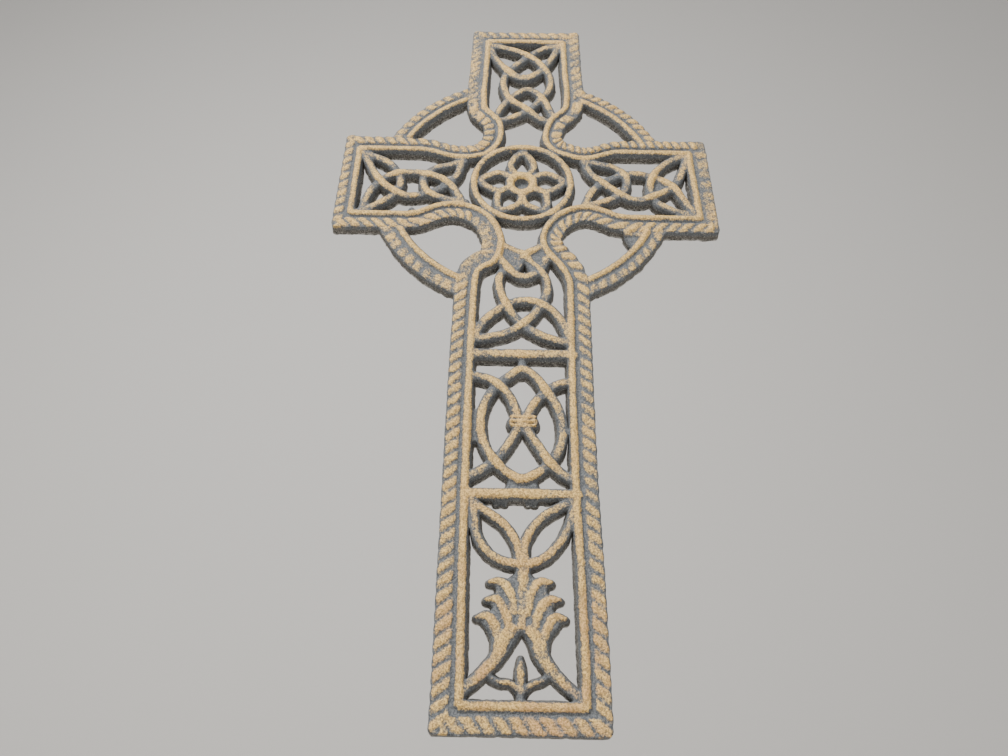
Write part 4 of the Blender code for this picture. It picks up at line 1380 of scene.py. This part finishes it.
def iron_material(look: IronFinish) -> bpy.types.Material:
    """Dark slate metal, rubbed to gold where it stands proud, with rough walls and pale specks.

    How worn a place is follows how far it stands proud plus noise in three sizes. The gold turns
    pink in patches, most of all near the foot, and fine noise darkens every colour in specks.

    Args:
        look: The finish.

    Returns:
        The material.
    """
    s = Shader("patinated_iron")
    fine, mid, broad = s.noise(*look.fine), s.noise(*look.middling), s.noise(*look.broad)
    rubbed, wall, flash = s.attribute("rubbed"), s.attribute("wall"), s.attribute("flash")
    speckle = s.ramp(fine, *look.speckle)
    patchy = s.math("MULTIPLY_ADD", broad, look.patches[2], look.patch_shift)
    patchy = s.math("MULTIPLY_ADD", mid, look.patches[1], patchy)
    patchy = s.math("MULTIPLY_ADD", fine, look.patches[0], patchy)
    worn = s.ramp(s.math("ADD", rubbed, patchy), *look.worn)
    near_foot = s.ramp(s.upward, *look.foot, look.pink_above, 1.0)
    pinkish = s.math("MULTIPLY", s.ramp(broad, *look.pink_patch, 0.0, look.pink_most), near_foot)
    gold = s.mix(speckle, look.crest_dark, s.mix(pinkish, look.crest, look.pink))
    grey = s.mix(speckle, look.recess_dark, look.recess)
    side = s.mix(speckle, look.wall_dark, look.wall)
    on_wall = s.math("MULTIPLY", s.ramp(wall, *look.on_wall), look.wall_share)
    colour = s.mix(on_wall, s.mix(worn, grey, gold), side)
    edge = s.math("MULTIPLY", s.ramp(flash, *look.at_edge), s.ramp(mid, *look.edge_patch))
    on_side = s.ramp(wall, *look.speck_on_wall)
    specks = s.math("MULTIPLY", on_side, s.ramp(fine, *look.speck, 0.0, look.speck_most))
    colour = s.mix(s.math("MAXIMUM", edge, specks), colour, look.flash)
    bump = s.add("ShaderNodeBump")
    bump.inputs["Strength"].default_value = 1.0
    bump.inputs["Distance"].default_value = look.bump_depth
    s.link(s.math("MULTIPLY_ADD", mid, look.bump_middling, fine), bump.inputs["Height"])
    inputs = (
        ("Base Color", colour),
        ("Metallic", s.ramp(worn, 0, 1, *look.metallic)),
        ("Roughness", s.ramp(worn, 0, 1, *look.roughness)),
        ("Normal", bump.outputs["Normal"]),
    )
    for name, value in inputs:
        s.link(value, s.shader.inputs[name])
    return s.material


@dataclass(frozen=True)
class Viewpoint:
    """The photograph's camera over the plaque as it lies.

    Lengths are in units of about half the arms' span. focal and width are in pixels, sensor
    in millimetres and the turns in radians. aside, ahead and height give the camera's place from
    the ring's centre: to the left, towards the foot, and over the face.
    """

    unit: float = 0.112
    focal: float = 757.0
    width: int = 1008
    sensor: float = 36.0
    clip: float = 0.01
    pitch: float = 1.05351
    roll: float = -0.01372
    yaw: float = -0.00540
    aside: float = 0.10202
    ahead: float = 3.20844
    height: float = 3.29190

    def place(self) -> bpy.types.Object:
        """Makes the camera and sets it as the scene's.

        Its axes are worked out over the plaque as it lies, then turned upright with it.

        Returns:
            The camera.
        """
        c, s = math.cos(self.yaw), math.sin(self.yaw)
        x = -(c * self.aside + s * self.ahead) * self.unit
        y = -(-s * self.aside + c * self.ahead) * self.unit
        z = self.height * self.unit + SIZES.bead_top * MM
        right = np.array([1.0, 0.0, 0.0])
        down = np.array([0.0, -math.sin(self.pitch), -math.cos(self.pitch)])
        ahead = np.array([0.0, math.cos(self.pitch), -math.sin(self.pitch)])
        cr, sr = math.cos(self.roll), math.sin(self.roll)
        right, down = cr * right + sr * down, -sr * right + cr * down
        turn = np.array([[c, s, 0], [-s, c, 0], [0, 0, 1]])
        upright = np.array([[1, 0, 0], [0, 0, -1], [0, 1, 0]])
        matrix = np.eye(4)
        matrix[:3, :3] = upright @ turn @ np.stack([right, -down, -ahead], axis=1)
        matrix[:3, 3] = upright @ (x, y, z) - (0, 0, SIZES.hang * MM)
        lens = bpy.data.cameras.new("photo_camera")
        lens.sensor_width = self.sensor
        lens.lens = self.focal / self.width * lens.sensor_width
        lens.clip_start = self.clip
        camera = bpy.data.objects.new("photo_camera", lens)
        camera.matrix_world = Matrix(matrix.tolist())
        bpy.context.scene.collection.objects.link(camera)
        bpy.context.scene.camera = camera
        return camera


@dataclass(frozen=True)
class Lamp:
    """A square soft light that points at the middle of the plaque."""

    name: str
    place: tuple
    size: float
    power: float
    target: tuple = (0.0, 0.0, -0.2)

    def build(self) -> None:
        """Makes the light, with its back along the line from the target to its place."""
        light = bpy.data.lights.new(self.name, "AREA")
        light.shape = "SQUARE"
        light.size = self.size
        light.energy = self.power
        obj = bpy.data.objects.new(self.name, light)
        to = np.array(self.target) - self.place
        to = to / np.linalg.norm(to)
        side = np.cross(to, (0, 0, 1))
        side /= np.linalg.norm(side)
        matrix = np.eye(4)
        matrix[:3, :3] = np.stack([side, np.cross(side, to), -to], axis=1)
        matrix[:3, 3] = self.place
        obj.matrix_world = Matrix(matrix.tolist())
        bpy.context.scene.collection.objects.link(obj)


@dataclass(frozen=True)
class Studio:
    """Plain pale floor and backdrop, with soft light."""

    floor: float = -0.75
    wall: float = 1.6
    wall_height: float = 6.0
    half: float = 4.0
    pale: tuple = (0.62, 0.60, 0.57)
    rough: float = 0.9
    sky: float = 0.36
    lamps: tuple = (
        Lamp("key_light", (-0.9, -1.8, 1.5), 0.9, 125.0),
        Lamp("fill_light", (1.2, -1.6, -1.0), 1.6, 22.0),
    )

    def build(self) -> None:
        """Makes the surfaces, the lights and the even light from all round."""
        paper = bpy.data.materials.new("pale_paper")
        paper.use_nodes = True
        shader = paper.node_tree.nodes["Principled BSDF"]
        shader.inputs["Base Color"].default_value = (*self.pale, 1)
        shader.inputs["Roughness"].default_value = self.rough
        a, low, far, high = self.half, self.floor, self.wall, self.floor + self.wall_height
        self.surface("floor", [(-a, -a, low), (a, -a, low), (a, a, low), (-a, a, low)], paper)
        self.surface("backdrop", [(-a, far, low), (a, far, low), (a, far, high), (-a, far, high)], paper)
        for lamp in self.lamps:
            lamp.build()
        world = bpy.data.worlds.new("studio")
        world.use_nodes = True
        sky = world.node_tree.nodes["Background"]
        sky.inputs["Color"].default_value = (1, 1, 1, 1)
        sky.inputs["Strength"].default_value = self.sky
        bpy.context.scene.world = world

    def surface(self, name: str, corners: list, material: bpy.types.Material) -> None:
        """A flat surface that isn't part of the object.

        Args:
            name: Its name.
            corners: Its four corners, in order.
            material: What it is made of.
        """
        mesh = bpy.data.meshes.new(name)
        mesh.from_pydata(corners, [], [(0, 1, 2, 3)])
        mesh.materials.append(material)
        obj = bpy.data.objects.new(name, mesh)
        bpy.context.scene.collection.objects.link(obj)
        obj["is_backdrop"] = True


def main() -> None:
    """Builds the casting over its solid, lights it and sets the photograph's view."""
    logging.basicConfig(level=logging.INFO, format="%(message)s")
    solid_box = [list(corner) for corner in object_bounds()]
    casting = Casting().build(solid_box)
    log.info("casting: %d points", len(casting.data.vertices))
    thin_back(casting, KEPT_FACETS)
    casting.data.materials.append(iron_material(IronFinish()))
    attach(casting, "root")
    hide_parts("cross")
    Studio().build()
    Viewpoint().place()


if __name__ == "__main__":
    main()
